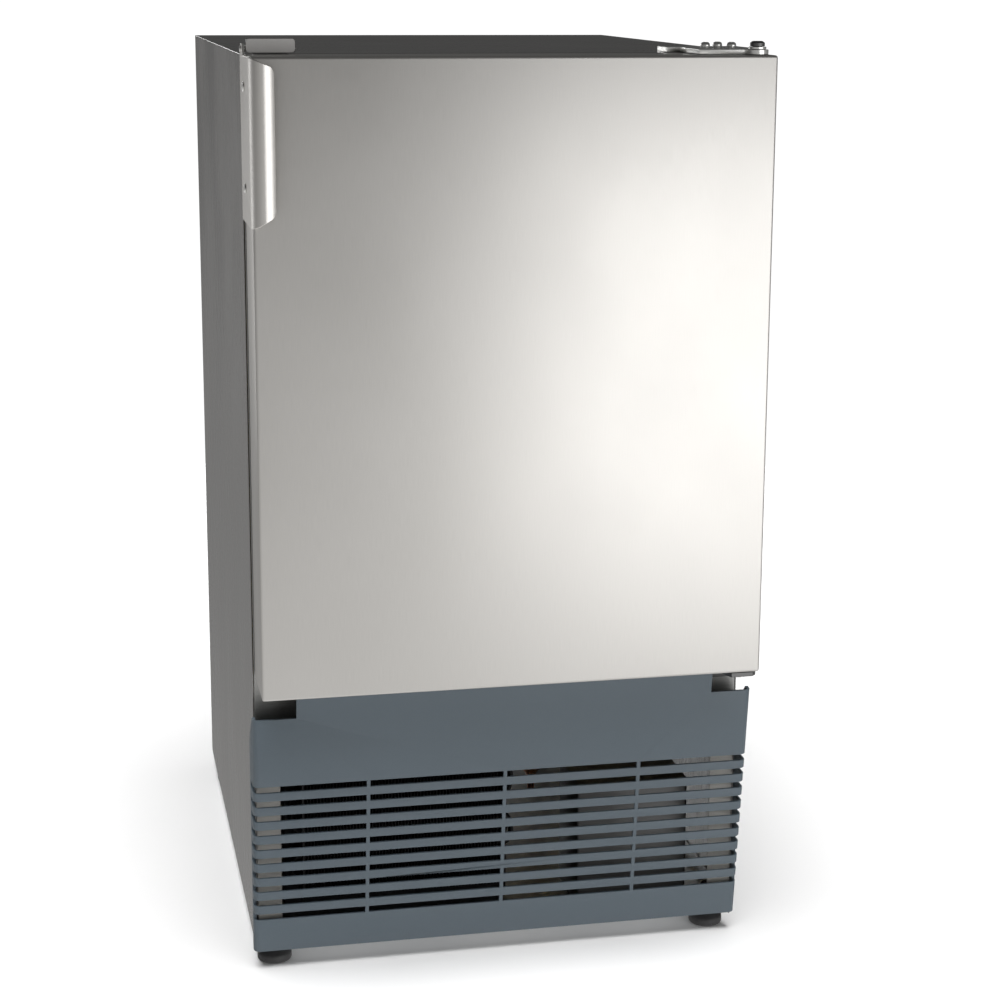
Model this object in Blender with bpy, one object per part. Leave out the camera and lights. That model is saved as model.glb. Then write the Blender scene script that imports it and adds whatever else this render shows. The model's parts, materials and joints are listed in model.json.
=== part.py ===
"""Built-in ice maker: stainless cabinet and door over a slotted machine-bay grille.

Metres, +Z up, +X to the right seen from the front, +Y to the back.  The origin is on the floor,
under the middle of the object's box.  Depths behind the door's front face are given by depth().
"""
from math import cos, pi, radians, sin

import bmesh
import bpy
from mathutils import Matrix, Vector

# ---------------------------------------------------------------- driving dimensions
CABINET_WIDTH = 0.3556
CABINET_TOP = 0.6520
CABINET_DEPTH = 0.4270        # front edge of the side panels to their rear edge
FOOT_CLEARANCE = 0.0120       # floor to the bottom edge of the side panels
SHEET = 0.0010                # cabinet sheet metal

DOOR_INSET = 0.0017           # cabinet side to the door edge, seen from the front
DOOR_BOTTOM = 0.2213
DOOR_THICKNESS = 0.0515
DOOR_GAP = 0.0054             # back of the door pan to the cabinet's front edge
DOOR_SKIN = 0.0012
DOOR_EDGE_RADIUS = 0.0018

HANDLE_REACH = 0.0165         # how far the pull stands in front of the door
HANDLE_SHEET = 0.0014
HANDLE_HEIGHT = 0.1090
HANDLE_LIP = 0.0155           # how far the pull reaches across the door

GRILLE_WALL = 0.0022
GRILLE_STEP = 0.0233          # underside of the door to the grille's lower shoulders
GRILLE_BOTTOM = 0.0147
GRILLE_FOOT = 0.0039          # cabinet's front edge to the foot of the grille's front face
GRILLE_LEAN = 0.0240          # how far the front face leans from its foot to the step
GRILLE_SHOULDER = 0.0278       # width of each shoulder beside the raised middle
GRILLE_CORNER = 0.0050
GRILLE_INNER_CORNER = 0.0010
GRILLE_OVERLAP = 0.0030        # how far its side returns lap over the cabinet's sides
SLOT_ROWS = 10
SLOT_SHARE = 0.44             # open part of each slot's pitch
SLOT_DROP = 0.0750            # underside of the door to the top slot
SLOT_FOOT = 0.0256            # grille's bottom edge to the lowest slot
RIB_WIDTH = 0.0025

WALL_SIDE = 0.0338            # insulated wall at the sides of the ice compartment
WALL_TOP = 0.0340
WALL_BOTTOM = 0.0237          # underside of the door to the compartment's floor
WALL_BACK = 0.0670
LINER_WALL = 0.0018

BIN_HEIGHT = 0.1500
BIN_WALL = 0.0025
MOULD_RADIUS = 0.0290
EJECTOR_FINGERS = 7
FOOT_RADIUS = 0.0125
FOOT_STEM_RADIUS = 0.0040
COMPRESSOR_RADIUS = 0.0620

GAP = 0.0003                  # between pieces that touch
FIT = 0.0010                  # between pieces that slip past each other

# ---------------------------------------------------------------- derived planes
TOTAL_DEPTH = HANDLE_REACH + DOOR_THICKNESS + DOOR_GAP + CABINET_DEPTH
DOOR_FRONT = -TOTAL_DEPTH / 2 + HANDLE_REACH


def depth(d):
    """World Y of a plane that lies d behind the door's front face."""
    return DOOR_FRONT + d


HALF = CABINET_WIDTH / 2
CABINET_FRONT = depth(DOOR_THICKNESS + DOOR_GAP)
CABINET_BACK = CABINET_FRONT + CABINET_DEPTH
DOOR_WIDTH = CABINET_WIDTH - 2 * DOOR_INSET
LINER_WIDTH = CABINET_WIDTH - 2 * WALL_SIDE
LINER_BOTTOM, LINER_TOP = DOOR_BOTTOM + WALL_BOTTOM, CABINET_TOP - WALL_TOP
LINER_DEPTH = CABINET_DEPTH - WALL_BACK
GRILLE_STEP_TOP = DOOR_BOTTOM - GRILLE_STEP
GRILLE_LEAN_BOTTOM = DOOR_THICKNESS + DOOR_GAP - GRILLE_FOOT
GRILLE_CENTRE_WIDTH = CABINET_WIDTH - 2 * GRILLE_SHOULDER
SLOT_TOP, SLOT_LOW = DOOR_BOTTOM - SLOT_DROP, GRILLE_BOTTOM + SLOT_FOOT
SLOT_PITCH = (SLOT_TOP - SLOT_LOW) / (SLOT_ROWS - 1 + SLOT_SHARE)
SLOT_HEIGHT = SLOT_PITCH * SLOT_SHARE
RIB_SPACING = CABINET_WIDTH / 3.6
INNER_HALF = HALF - SHEET
MACHINE_TOP = DOOR_BOTTOM - 0.0170
FRAME_LOW = MACHINE_TOP - 0.0200   # the front frame closes the gap above the grille's shoulders
BASE_TOP = FOOT_CLEARANCE + 0.0016
FRAME_SHEET = 0.0014
FOAM_FRONT = CABINET_FRONT + FRAME_SHEET + GAP
BACK_PANEL = CABINET_BACK - 0.0140
LINER_BACK = FOAM_FRONT + LINER_DEPTH

HINGE = Vector((DOOR_WIDTH / 2 - 0.0111, depth(0.0120), 0.0))

# ---------------------------------------------------------------- scene and helpers
for old in list(bpy.data.objects):
    bpy.data.objects.remove(old)


def material(name, colour, roughness, metallic):
    mat = bpy.data.materials.new(name)
    mat.use_nodes = True
    shader = mat.node_tree.nodes["Principled BSDF"]
    shader.inputs["Base Color"].default_value = (*colour, 1.0)
    shader.inputs["Roughness"].default_value = roughness
    shader.inputs["Metallic"].default_value = metallic
    return mat


STAINLESS = material("brushed_stainless", (0.62, 0.61, 0.59), 0.32, 1.0)
CASE_STEEL = material("case_steel", (0.32, 0.31, 0.30), 0.45, 1.0)
BRIGHT = material("bright_steel", (0.75, 0.75, 0.74), 0.20, 1.0)
DARK_STEEL = material("dark_steel", (0.10, 0.10, 0.10), 0.50, 1.0)
GRILLE_PLASTIC = material("grille_plastic", (0.098, 0.125, 0.153), 0.45, 0.0)
BLACK_PLASTIC = material("black_plastic", (0.02, 0.02, 0.02), 0.50, 0.0)
WHITE_PLASTIC = material("white_plastic", (0.80, 0.81, 0.80), 0.35, 0.0)
CLEAR_PLASTIC = material("bin_plastic", (0.62, 0.68, 0.72), 0.30, 0.0)
FOAM = material("foam", (0.80, 0.68, 0.38), 0.90, 0.0)
RUBBER = material("rubber", (0.03, 0.03, 0.03), 0.80, 0.0)
ALUMINIUM = material("aluminium", (0.60, 0.61, 0.62), 0.40, 1.0)
COPPER = material("copper", (0.72, 0.35, 0.20), 0.35, 1.0)
BRASS = material("brass", (0.72, 0.55, 0.25), 0.35, 1.0)
BLUE_PLASTIC = material("valve_plastic", (0.10, 0.20, 0.42), 0.45, 0.0)
BLACK_STEEL = material("black_painted_steel", (0.015, 0.015, 0.017), 0.40, 0.0)


def add(name, bm, mat, pivot=(0.0, 0.0, 0.0), smooth=0):
    """Makes a node from a bmesh in world coordinates, with its origin at the pivot."""
    bmesh.ops.recalc_face_normals(bm, faces=bm.faces)
    bmesh.ops.translate(bm, verts=bm.verts, vec=-Vector(pivot))
    mesh = bpy.data.meshes.new(name)
    bm.to_mesh(mesh)
    bm.free()
    obj = bpy.data.objects.new(name, mesh)
    obj.location = pivot
    if mat:
        mesh.materials.append(mat)
    if smooth:
        mesh.shade_smooth()
        mesh.set_sharp_from_angle(angle=radians(smooth))
    bpy.context.scene.collection.objects.link(obj)
    return obj


def box(x, y, z, round_edges=0.0, segments=2, square_front=False):
    """A box between the given (low, high) pairs, its edges rounded if asked, bar those of a square front."""
    bm = bmesh.new()
    bmesh.ops.create_cube(bm, size=1.0)
    size = Vector((x[1] - x[0], y[1] - y[0], z[1] - z[0]))
    middle = Vector((x[0] + x[1], y[0] + y[1], z[0] + z[1])) / 2
    bmesh.ops.scale(bm, verts=bm.verts, vec=size)
    bmesh.ops.translate(bm, verts=bm.verts, vec=middle)
    if round_edges:
        edges = [e for e in bm.edges if not square_front or max(v.co.y for v in e.verts) > middle.y]
        bmesh.ops.bevel(bm, geom=edges, offset=round_edges, segments=segments,
                        profile=0.5, affect="EDGES", material=-1)
    return bm


def prism(outline, axis, low, high):
    """A closed outline of (a, b) points pushed along an axis; a, b are the other two axes in order."""
    order = {"X": (1, 2), "Y": (0, 2), "Z": (0, 1)}[axis]
    along = "XYZ".index(axis)
    bm = bmesh.new()
    verts = []
    for a, b in outline:
        point = [0.0, 0.0, 0.0]
        point[order[0]], point[order[1]], point[along] = a, b, low
        verts.append(bm.verts.new(point))
    face = bm.faces.new(verts)
    pushed = bmesh.ops.extrude_face_region(bm, geom=[face])["geom"]
    move = [0.0, 0.0, 0.0]
    move[along] = high - low
    bmesh.ops.translate(bm, verts=[v for v in pushed if isinstance(v, bmesh.types.BMVert)], vec=move)
    return bm


def arc(centre, radius, start, end, steps):
    """Points on an arc, angles in degrees, both ends included."""
    points = []
    for i in range(steps + 1):
        angle = radians(start + (end - start) * i / steps)
        points.append((centre[0] + radius * cos(angle), centre[1] + radius * sin(angle)))
    return points


def lathe(profile, centre, axis, segments=20):
    """Turns (radius, height) points about an axis through centre; the ends close on the axis."""
    bm = bmesh.new()
    rings = []
    for radius, height in profile:
        if radius == 0.0:
            rings.append([bm.verts.new((0.0, 0.0, height))])
            continue
        ring = []
        for i in range(segments):
            angle = 2 * pi * i / segments
            ring.append(bm.verts.new((radius * cos(angle), radius * sin(angle), height)))
        rings.append(ring)
    for low, high in zip(rings, rings[1:]):
        for i in range(segments):
            j = (i + 1) % segments
            corners = [low[i % len(low)], low[j % len(low)], high[j % len(high)], high[i % len(high)]]
            bm.faces.new(list(dict.fromkeys(corners)))
    for ring in (rings[0], rings[-1]):
        if len(ring) > 1:
            bm.faces.new(ring)
    turn = {"Z": Matrix(), "Y": Matrix.Rotation(-pi / 2, 4, "X"), "X": Matrix.Rotation(pi / 2, 4, "Y")}
    bmesh.ops.transform(bm, matrix=Matrix.Translation(centre) @ turn[axis], verts=bm.verts)
    return bm


def rod(radius, centre, axis, length, segments=16):
    """A plain round bar that starts at centre and runs along the axis."""
    return lathe([(radius, 0.0), (radius, length)], centre, axis, segments)


def boolean(obj, bm, how):
    """Cuts a bmesh from an object, or joins it on, with a hidden guide object."""
    guide = add(obj.name + "_guide", bm, None)
    guide.hide_render = True
    guide.display_type = "WIRE"
    modifier = obj.modifiers.new(how.lower(), "BOOLEAN")
    modifier.operation = how
    modifier.solver = "EXACT"
    modifier.object = guide


def cut(obj, bm):
    boolean(obj, bm, "DIFFERENCE")


def join(obj, bm):
    boolean(obj, bm, "UNION")


def pipe(name, points, radius, mat, pivot=(0.0, 0.0, 0.0), resolution=2):
    """A round wire or tube along a list of points."""
    curve = bpy.data.curves.new(name, "CURVE")
    curve.dimensions = "3D"
    curve.bevel_depth = radius
    curve.bevel_resolution = resolution
    curve.use_fill_caps = True
    spline = curve.splines.new("POLY")
    spline.points.add(len(points) - 1)
    for slot, point in zip(spline.points, points):
        slot.co = (*(Vector(point) - Vector(pivot)), 1.0)
    curve.materials.append(mat)
    obj = bpy.data.objects.new(name, curve)
    obj.location = pivot
    bpy.context.scene.collection.objects.link(obj)
    return obj


def smooth_route(corners, radius, steps=4):
    """Rounds the inner corners of a route of straight runs with arcs of about the given radius."""
    corners = [Vector(c) for c in corners]
    route = [corners[0]]
    for before, here, after in zip(corners, corners[1:], corners[2:]):
        start = here + (before - here).normalized() * radius
        end = here + (after - here).normalized() * radius
        for i in range(steps + 1):
            t = i / steps
            route.append(start * (1 - t) ** 2 + here * 2 * t * (1 - t) + end * t ** 2)
    route.append(corners[-1])
    return route


# ---------------------------------------------------------------- cabinet
def cabinet():
    """Folded outer wrap, back panel, base pan, front frame, bay flanges, foam and liner."""
    outline = [
        (-HALF, FOOT_CLEARANCE), (-INNER_HALF, FOOT_CLEARANCE), (-INNER_HALF, CABINET_TOP - SHEET),
        (INNER_HALF, CABINET_TOP - SHEET), (INNER_HALF, FOOT_CLEARANCE), (HALF, FOOT_CLEARANCE),
        (HALF, CABINET_TOP), (-HALF, CABINET_TOP),
    ]
    add("cabinet_wrap", prism(outline, "Y", CABINET_FRONT, CABINET_BACK), STAINLESS)

    inside = INNER_HALF - GAP
    back = add("back_panel", box((-inside, inside), (BACK_PANEL, BACK_PANEL + SHEET),
                                 (BASE_TOP + GAP, CABINET_TOP - SHEET - GAP)), CASE_STEEL)
    cut(back, box((ACCESS_LEFT, ACCESS_RIGHT), (BACK_PANEL - FIT, BACK_PANEL + SHEET + FIT),
                  (0.0400, MACHINE_TOP - 0.0343)))

    lip = 0.0120
    pan = [(-inside, BASE_TOP + lip), (-inside, FOOT_CLEARANCE), (inside, FOOT_CLEARANCE),
           (inside, BASE_TOP + lip), (inside - 0.0016, BASE_TOP + lip), (inside - 0.0016, BASE_TOP),
           (-inside + 0.0016, BASE_TOP), (-inside + 0.0016, BASE_TOP + lip)]
    base = add("base_pan", prism(pan, "Y", CABINET_FRONT + FRAME_SHEET + GAP, BACK_PANEL - GAP), CASE_STEEL)
    for x, y in foot_places():
        cut(base, rod(FOOT_STEM_RADIUS + FIT / 2, (x, y, FOOT_CLEARANCE - FIT), "Z", 0.006, 16))

    frame = add("front_frame", box((-inside, inside), (CABINET_FRONT, CABINET_FRONT + FRAME_SHEET),
                                   (FRAME_LOW, CABINET_TOP - SHEET - GAP)), CASE_STEEL)
    opening = LINER_WIDTH / 2
    cut(frame, box((-opening, opening), (CABINET_FRONT - FIT, CABINET_FRONT + FRAME_SHEET + FIT),
                   (LINER_BOTTOM, LINER_TOP)))

    flange_width = 0.0172
    for side, name in ((-1, "bay_flange_left"), (1, "bay_flange_right")):
        x = sorted((side * inside, side * (inside - flange_width)))
        add(name, box(x, (CABINET_FRONT, CABINET_FRONT + FRAME_SHEET),
                      (BASE_TOP + lip + GAP, FRAME_LOW - GAP)), BRIGHT)

    foam = add("foam_insulation", box((-inside, inside), (FOAM_FRONT, BACK_PANEL - GAP),
                                      (MACHINE_TOP, CABINET_TOP - SHEET - GAP)), FOAM)
    wall = LINER_WALL + GAP
    cut(foam, box((-opening - wall, opening + wall), (FOAM_FRONT - FIT, LINER_BACK + wall),
                  (LINER_BOTTOM - wall, LINER_TOP + wall)))
    cut(foam, rod(NOZZLE_RADIUS + GAP, (NOZZLE_X, LINER_BACK, NOZZLE_Z), "Y", 0.2))

    wall = LINER_WALL
    liner = add("inner_liner", box((-opening - wall, opening + wall), (FOAM_FRONT, LINER_BACK + wall),
                                   (LINER_BOTTOM - wall, LINER_TOP + wall)), WHITE_PLASTIC)
    cut(liner, box((-opening, opening), (FOAM_FRONT - FIT, LINER_BACK), (LINER_BOTTOM, LINER_TOP)))
    cut(liner, rod(NOZZLE_RADIUS + GAP, (NOZZLE_X, LINER_BACK - FIT, NOZZLE_Z), "Y", 0.2))
    cut(back, rod(NOZZLE_RADIUS + GAP, (NOZZLE_X, LINER_BACK, NOZZLE_Z), "Y", 0.2))


def foot_places():
    """The four feet stand this far in from the sides, the front edge and the back panel."""
    inset = 0.0140
    front, back = CABINET_FRONT + 0.0170, BACK_PANEL - 0.0300
    return [(side * (HALF - inset), y) for y in (front, back) for side in (-1, 1)]


def feet():
    """Levelling feet: a round pad with a screwed stem, standing on the floor."""
    names = ("foot_front_left", "foot_front_right", "foot_rear_left", "foot_rear_right")
    stem_top = BASE_TOP + 0.0180
    for name, (x, y) in zip(names, foot_places()):
        profile = [(FOOT_RADIUS, 0.0), (FOOT_RADIUS, 0.0060), (FOOT_RADIUS - 0.0025, 0.0085),
                   (FOOT_STEM_RADIUS + 0.0020, FOOT_CLEARANCE - FIT),
                   (FOOT_STEM_RADIUS, FOOT_CLEARANCE - FIT),
                   (FOOT_STEM_RADIUS, stem_top)]
        add(name, lathe(profile, (x, y, 0.0), "Z", 16), BLACK_PLASTIC, (x, y, 0.0), 40)


# ---------------------------------------------------------------- ice making inside the liner
MOULD_X = 0.0540 - LINER_WIDTH / 2
MOULD_Z = LINER_TOP - 0.0330
MOULD_FRONT = FOAM_FRONT + 0.1150
MOULD_LENGTH = LINER_DEPTH - 0.1550
MOULD_BACK = MOULD_FRONT + MOULD_LENGTH
NOZZLE_RADIUS = 0.0050
NOZZLE_X = MOULD_X
NOZZLE_Z = MOULD_Z + 0.0205


def ice_maker():
    """Half-round mould, turning ejector, motor housing with its rocker, shut-off arm and fill cup."""
    wall = 0.0050
    half = MOULD_RADIUS + wall
    outline = [(MOULD_X - half, MOULD_Z), (MOULD_X - half, MOULD_Z - 0.012)]
    outline += arc((MOULD_X, MOULD_Z), half, 200, 340, 6)
    outline += [(MOULD_X + half, MOULD_Z - 0.012), (MOULD_X + half, MOULD_Z)]
    mould = add("ice_mould", prism(outline, "Y", MOULD_FRONT, MOULD_BACK), ALUMINIUM, smooth=40)
    trough = prism(arc((MOULD_X, MOULD_Z + GAP), MOULD_RADIUS, 180, 360, 10) +
                   [(MOULD_X + MOULD_RADIUS, MOULD_Z + 0.01), (MOULD_X - MOULD_RADIUS, MOULD_Z + 0.01)],
                   "Y", MOULD_FRONT + 0.004, MOULD_BACK - 0.004)
    cut(mould, trough)
    shaft_z = MOULD_Z + 0.0015
    shaft = 0.0042
    for end in (MOULD_FRONT - FIT, MOULD_BACK - 0.004 - FIT):
        cut(mould, rod(shaft + FIT, (MOULD_X, end, shaft_z), "Y", 0.004 + 2 * FIT))

    axis = (MOULD_X, MOULD_FRONT, shaft_z)
    ejector = add("ejector", rod(shaft, (MOULD_X, MOULD_FRONT - 0.0055, shaft_z), "Y",
                                 MOULD_LENGTH + 0.0055 - GAP, 12), BLACK_PLASTIC, axis, 40)
    pitch = (MOULD_LENGTH - 0.016) / EJECTOR_FINGERS
    for i in range(EJECTOR_FINGERS):
        y = MOULD_FRONT + 0.008 + pitch * (i + 0.5)
        finger = box((MOULD_X - 0.0022, MOULD_X + 0.0022), (y - 0.0018, y + 0.0018),
                     (shaft_z, shaft_z + MOULD_RADIUS - 0.0040))
        join(ejector, finger)

    housing_front, housing_back = MOULD_FRONT - 0.0560, MOULD_FRONT - GAP
    housing = add("ice_maker_housing",
                  box((MOULD_X - 0.0430, MOULD_X + 0.0430), (housing_front, housing_back),
                      (MOULD_Z - 0.0630, MOULD_Z + 0.0280), 0.0040), WHITE_PLASTIC, smooth=40)
    cut(housing, rod(shaft + FIT, (MOULD_X, housing_back - 0.0060, shaft_z), "Y", 0.02))

    rocker_z = MOULD_Z - 0.0200
    cut(housing, box((MOULD_X - 0.0070, MOULD_X + 0.0070), (housing_front - 0.002, housing_front + 0.0100),
                     (rocker_z - 0.0115, rocker_z + 0.0115)))
    pivot = (MOULD_X, housing_front + 0.0045, rocker_z)
    outline = [(housing_front + 0.0080, -0.0060), (housing_front - 0.0010, -0.0100),
               (housing_front + 0.0008, 0.0), (housing_front - 0.0010, 0.0100),
               (housing_front + 0.0080, 0.0060)]
    outline = [(y, z + rocker_z) for y, z in outline]
    add("power_rocker", prism(outline, "X", MOULD_X - 0.0065, MOULD_X + 0.0065), BLACK_PLASTIC, pivot)

    arm_z = MOULD_Z - 0.0330
    arm_x = MOULD_X + 0.0500
    reach, drop = 0.0330, 0.0300
    pivot = (arm_x, MOULD_FRONT, arm_z)
    lug = box((MOULD_X + 0.0420, arm_x + 0.0050), (housing_back - 0.0120, housing_back),
              (arm_z - 0.006, arm_z + 0.006))
    join(housing, lug)
    cut(housing, rod(0.0015 + FIT / 2, (arm_x, housing_back - 0.0100, arm_z), "Y", 0.02, 12))
    route = smooth_route([(arm_x, housing_back - 0.0090, arm_z), (arm_x, MOULD_FRONT + 0.0120, arm_z),
                          (arm_x + reach, MOULD_FRONT + 0.0120, arm_z - drop),
                          (arm_x + reach, MOULD_BACK - 0.0200, arm_z - drop),
                          (arm_x + 0.0080, MOULD_BACK - 0.0200, arm_z - 0.0080)], 0.0060)
    pipe("shut_off_arm", route, 0.0015, BRIGHT, pivot)

    cup_front, cup_back = MOULD_BACK + GAP, LINER_BACK - GAP
    floor = MOULD_Z - 0.0060
    cup = add("fill_cup", box((MOULD_X - 0.0200, MOULD_X + 0.0200), (cup_front, cup_back),
                              (floor, MOULD_Z + 0.0280)), WHITE_PLASTIC)
    cut(cup, box((MOULD_X - 0.0180, MOULD_X + 0.0180), (cup_front - FIT, cup_back - 0.0020),
                 (MOULD_Z + 0.0060, MOULD_Z + 0.0300)))
    cut(cup, rod(NOZZLE_RADIUS + FIT / 2, (NOZZLE_X, cup_back - 0.0030, NOZZLE_Z), "Y", 0.01))
    nozzle = [(NOZZLE_X, cup_back - 0.0100, NOZZLE_Z), (NOZZLE_X, BACK_PANEL + 0.0080, NOZZLE_Z),
              (NOZZLE_X, BACK_PANEL + 0.0080, 0.0980)]
    pipe("fill_tube", smooth_route(nozzle, 0.0060), NOZZLE_RADIUS - FIT / 2, WHITE_PLASTIC)


BIN_FRONT = CABINET_FRONT + 0.0300
BIN_BACK = LINER_BACK - 0.0040
BIN_HALF = LINER_WIDTH / 2 - 0.0040


def ice_bin():
    """Open bin that slides forward on the liner's floor."""
    floor = LINER_BOTTOM + GAP
    bucket = add("ice_bin", box((-BIN_HALF, BIN_HALF), (BIN_FRONT, BIN_BACK), (floor, floor + BIN_HEIGHT),
                                0.0015), CLEAR_PLASTIC, smooth=40)
    cut(bucket, box((-BIN_HALF + BIN_WALL, BIN_HALF - BIN_WALL), (BIN_FRONT + BIN_WALL, BIN_BACK - BIN_WALL),
                    (floor + BIN_WALL, floor + BIN_HEIGHT + FIT)))
    cut(bucket, box((-0.0500, 0.0500), (BIN_FRONT - FIT, BIN_FRONT + BIN_WALL + FIT),
                    (floor + BIN_HEIGHT - 0.0260, floor + BIN_HEIGHT + FIT)))


# ---------------------------------------------------------------- machine bay
CONDENSER_FRONT = CABINET_FRONT + 0.0300
CONDENSER_BACK = CONDENSER_FRONT + 0.0400
CONDENSER_LEFT = 0.0268 - INNER_HALF
CONDENSER_RIGHT = CONDENSER_LEFT + 0.4780 * CABINET_WIDTH
CONDENSER_LOW, CONDENSER_HIGH = BASE_TOP + 0.0200, MACHINE_TOP - 0.0220
FAN_X = (CONDENSER_LEFT + CONDENSER_RIGHT) / 2
FAN_Z = (CONDENSER_LOW + CONDENSER_HIGH) / 2
FAN_RADIUS = (CONDENSER_HIGH - CONDENSER_LOW) * 0.3760
COMPRESSOR_X, COMPRESSOR_Y = -0.0500, CABINET_FRONT + 0.2600
GROMMET_HEIGHT = 0.0120
SERVICES_X = INNER_HALF - 0.0368
ACCESS_LEFT, ACCESS_RIGHT = NOZZLE_X + 0.0300, SERVICES_X - 0.0300


def refrigeration():
    """Condenser, fan set, compressor on rubber grommets, drier and the line between them."""
    depth_span = (CONDENSER_FRONT, CONDENSER_BACK)
    condenser = add("condenser", box((CONDENSER_LEFT, CONDENSER_RIGHT), depth_span,
                                     (CONDENSER_LOW, CONDENSER_HIGH)), DARK_STEEL)
    fins = 17
    pitch = (CONDENSER_RIGHT - CONDENSER_LEFT) / fins
    for face in (CONDENSER_FRONT, CONDENSER_BACK):
        grooves = bmesh.new()
        for i in range(fins):
            x = CONDENSER_LEFT + pitch * (i + 0.5)
            slot = box((x - pitch * 0.3, x + pitch * 0.3), (face - 0.0120, face + 0.0120),
                       (CONDENSER_LOW + 0.0060, CONDENSER_HIGH - 0.0060))
            merge(grooves, slot)
        cut(condenser, grooves)

    shroud = add("fan_shroud", box((CONDENSER_LEFT, CONDENSER_RIGHT),
                                   (CONDENSER_BACK + GAP, CONDENSER_BACK + 0.0180),
                                   (BASE_TOP + GAP, CONDENSER_HIGH)), BLACK_PLASTIC)
    cut(shroud, rod(FAN_RADIUS + 2 * FIT, (FAN_X, CONDENSER_BACK, FAN_Z), "Y", 0.03, 28))

    fan_front = CONDENSER_BACK + 0.0050
    axis = (FAN_X, fan_front, FAN_Z)
    fan = add("fan", rod(0.0150, axis, "Y", 0.0120, 20), BLACK_PLASTIC, axis, 40)
    blades = 5
    for i in range(blades):
        blade = box((0.0120, FAN_RADIUS), (-0.0008, 0.0008), (-0.0075, 0.0075))
        bmesh.ops.rotate(blade, verts=blade.verts, cent=(0, 0, 0),
                         matrix=Matrix.Rotation(radians(62), 3, "X"))
        bmesh.ops.rotate(blade, verts=blade.verts, cent=(0, 0, 0),
                         matrix=Matrix.Rotation(2 * pi * i / blades, 3, "Y"))
        bmesh.ops.translate(blade, verts=blade.verts, vec=Vector(axis) + Vector((0, 0.0050, 0)))
        join(fan, blade)
    motor_front = fan_front + 0.0120 + FIT
    motor = add("fan_motor", rod(0.0210, (FAN_X, motor_front, FAN_Z), "Y", 0.0300, 20), DARK_STEEL, smooth=40)
    strap = box((CONDENSER_LEFT, CONDENSER_RIGHT), (motor_front + 0.0020, motor_front + 0.0040),
                (FAN_Z - 0.0060, FAN_Z + 0.0060))
    join(motor, strap)

    low = BASE_TOP + GROMMET_HEIGHT
    half_x, half_y = 0.0780, 0.0560
    plate = add("compressor_plate", box((COMPRESSOR_X - half_x, COMPRESSOR_X + half_x),
                                        (COMPRESSOR_Y - half_y, COMPRESSOR_Y + half_y),
                                        (low + 2 * GAP, low + 0.0025)), BLACK_STEEL)
    r = COMPRESSOR_RADIUS
    top = MACHINE_TOP - low - 0.0200
    profile = [(0.0, 0.0028), (r * 0.80, 0.0028), (r * 0.94, 0.0120), (r, 0.0280), (r, top * 0.46),
               (r + 0.0030, top * 0.46),
               (r + 0.0030, top * 0.50), (r, top * 0.50), (r, top * 0.72), (r * 0.90, top * 0.87),
               (r * 0.66, top * 0.96),
               (0.0, top)]
    add("compressor", lathe(profile, (COMPRESSOR_X, COMPRESSOR_Y, low), "Z", 28), BLACK_STEEL, smooth=40)
    names = ("grommet_front_left", "grommet_front_right", "grommet_rear_left", "grommet_rear_right")
    corners = [(sx, sy) for sy in (-1, 1) for sx in (-1, 1)]
    for name, (sx, sy) in zip(names, corners):
        x, y = COMPRESSOR_X + sx * (half_x - 0.0100), COMPRESSOR_Y + sy * (half_y - 0.0100)
        profile = [(0.0080, GAP), (0.0080, 0.0045), (0.0060, 0.0055), (0.0060, GROMMET_HEIGHT - 0.0040),
                   (0.0080, GROMMET_HEIGHT - 0.0030), (0.0080, GROMMET_HEIGHT)]
        add(name, lathe(profile, (x, y, BASE_TOP), "Z", 12), RUBBER, smooth=40)

    drier_x, drier_y = 0.0750, COMPRESSOR_Y - 0.0300
    profile = [(0.0030, -0.0120), (0.0030, 0.0), (0.0095, 0.0090), (0.0095, 0.0700), (0.0030, 0.0800),
               (0.0030, 0.0920)]
    add("filter_drier", lathe(profile, (drier_x, drier_y, BASE_TOP + 0.0300), "Z", 14), COPPER, smooth=50)
    start = (COMPRESSOR_X + r + 0.0045, COMPRESSOR_Y, low + 0.0600)
    line = [start, (start[0] + 0.0200, start[1], start[2]), (start[0] + 0.0200, start[1],
                                                             MACHINE_TOP - 0.0250),
            (start[0] + 0.0200, CONDENSER_BACK + 0.0400, MACHINE_TOP - 0.0250),
            (CONDENSER_RIGHT + 0.0150, CONDENSER_FRONT + 0.0200, MACHINE_TOP - 0.0450),
            (CONDENSER_RIGHT + GAP, CONDENSER_FRONT + 0.0200, MACHINE_TOP - 0.0450)]
    pipe("discharge_line", smooth_route(line, 0.0080), 0.0028, COPPER)


def merge(target, extra):
    """Adds one bmesh's shape to another."""
    mesh = bpy.data.meshes.new("scratch")
    extra.to_mesh(mesh)
    extra.free()
    target.from_mesh(mesh)
    bpy.data.meshes.remove(mesh)


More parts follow.
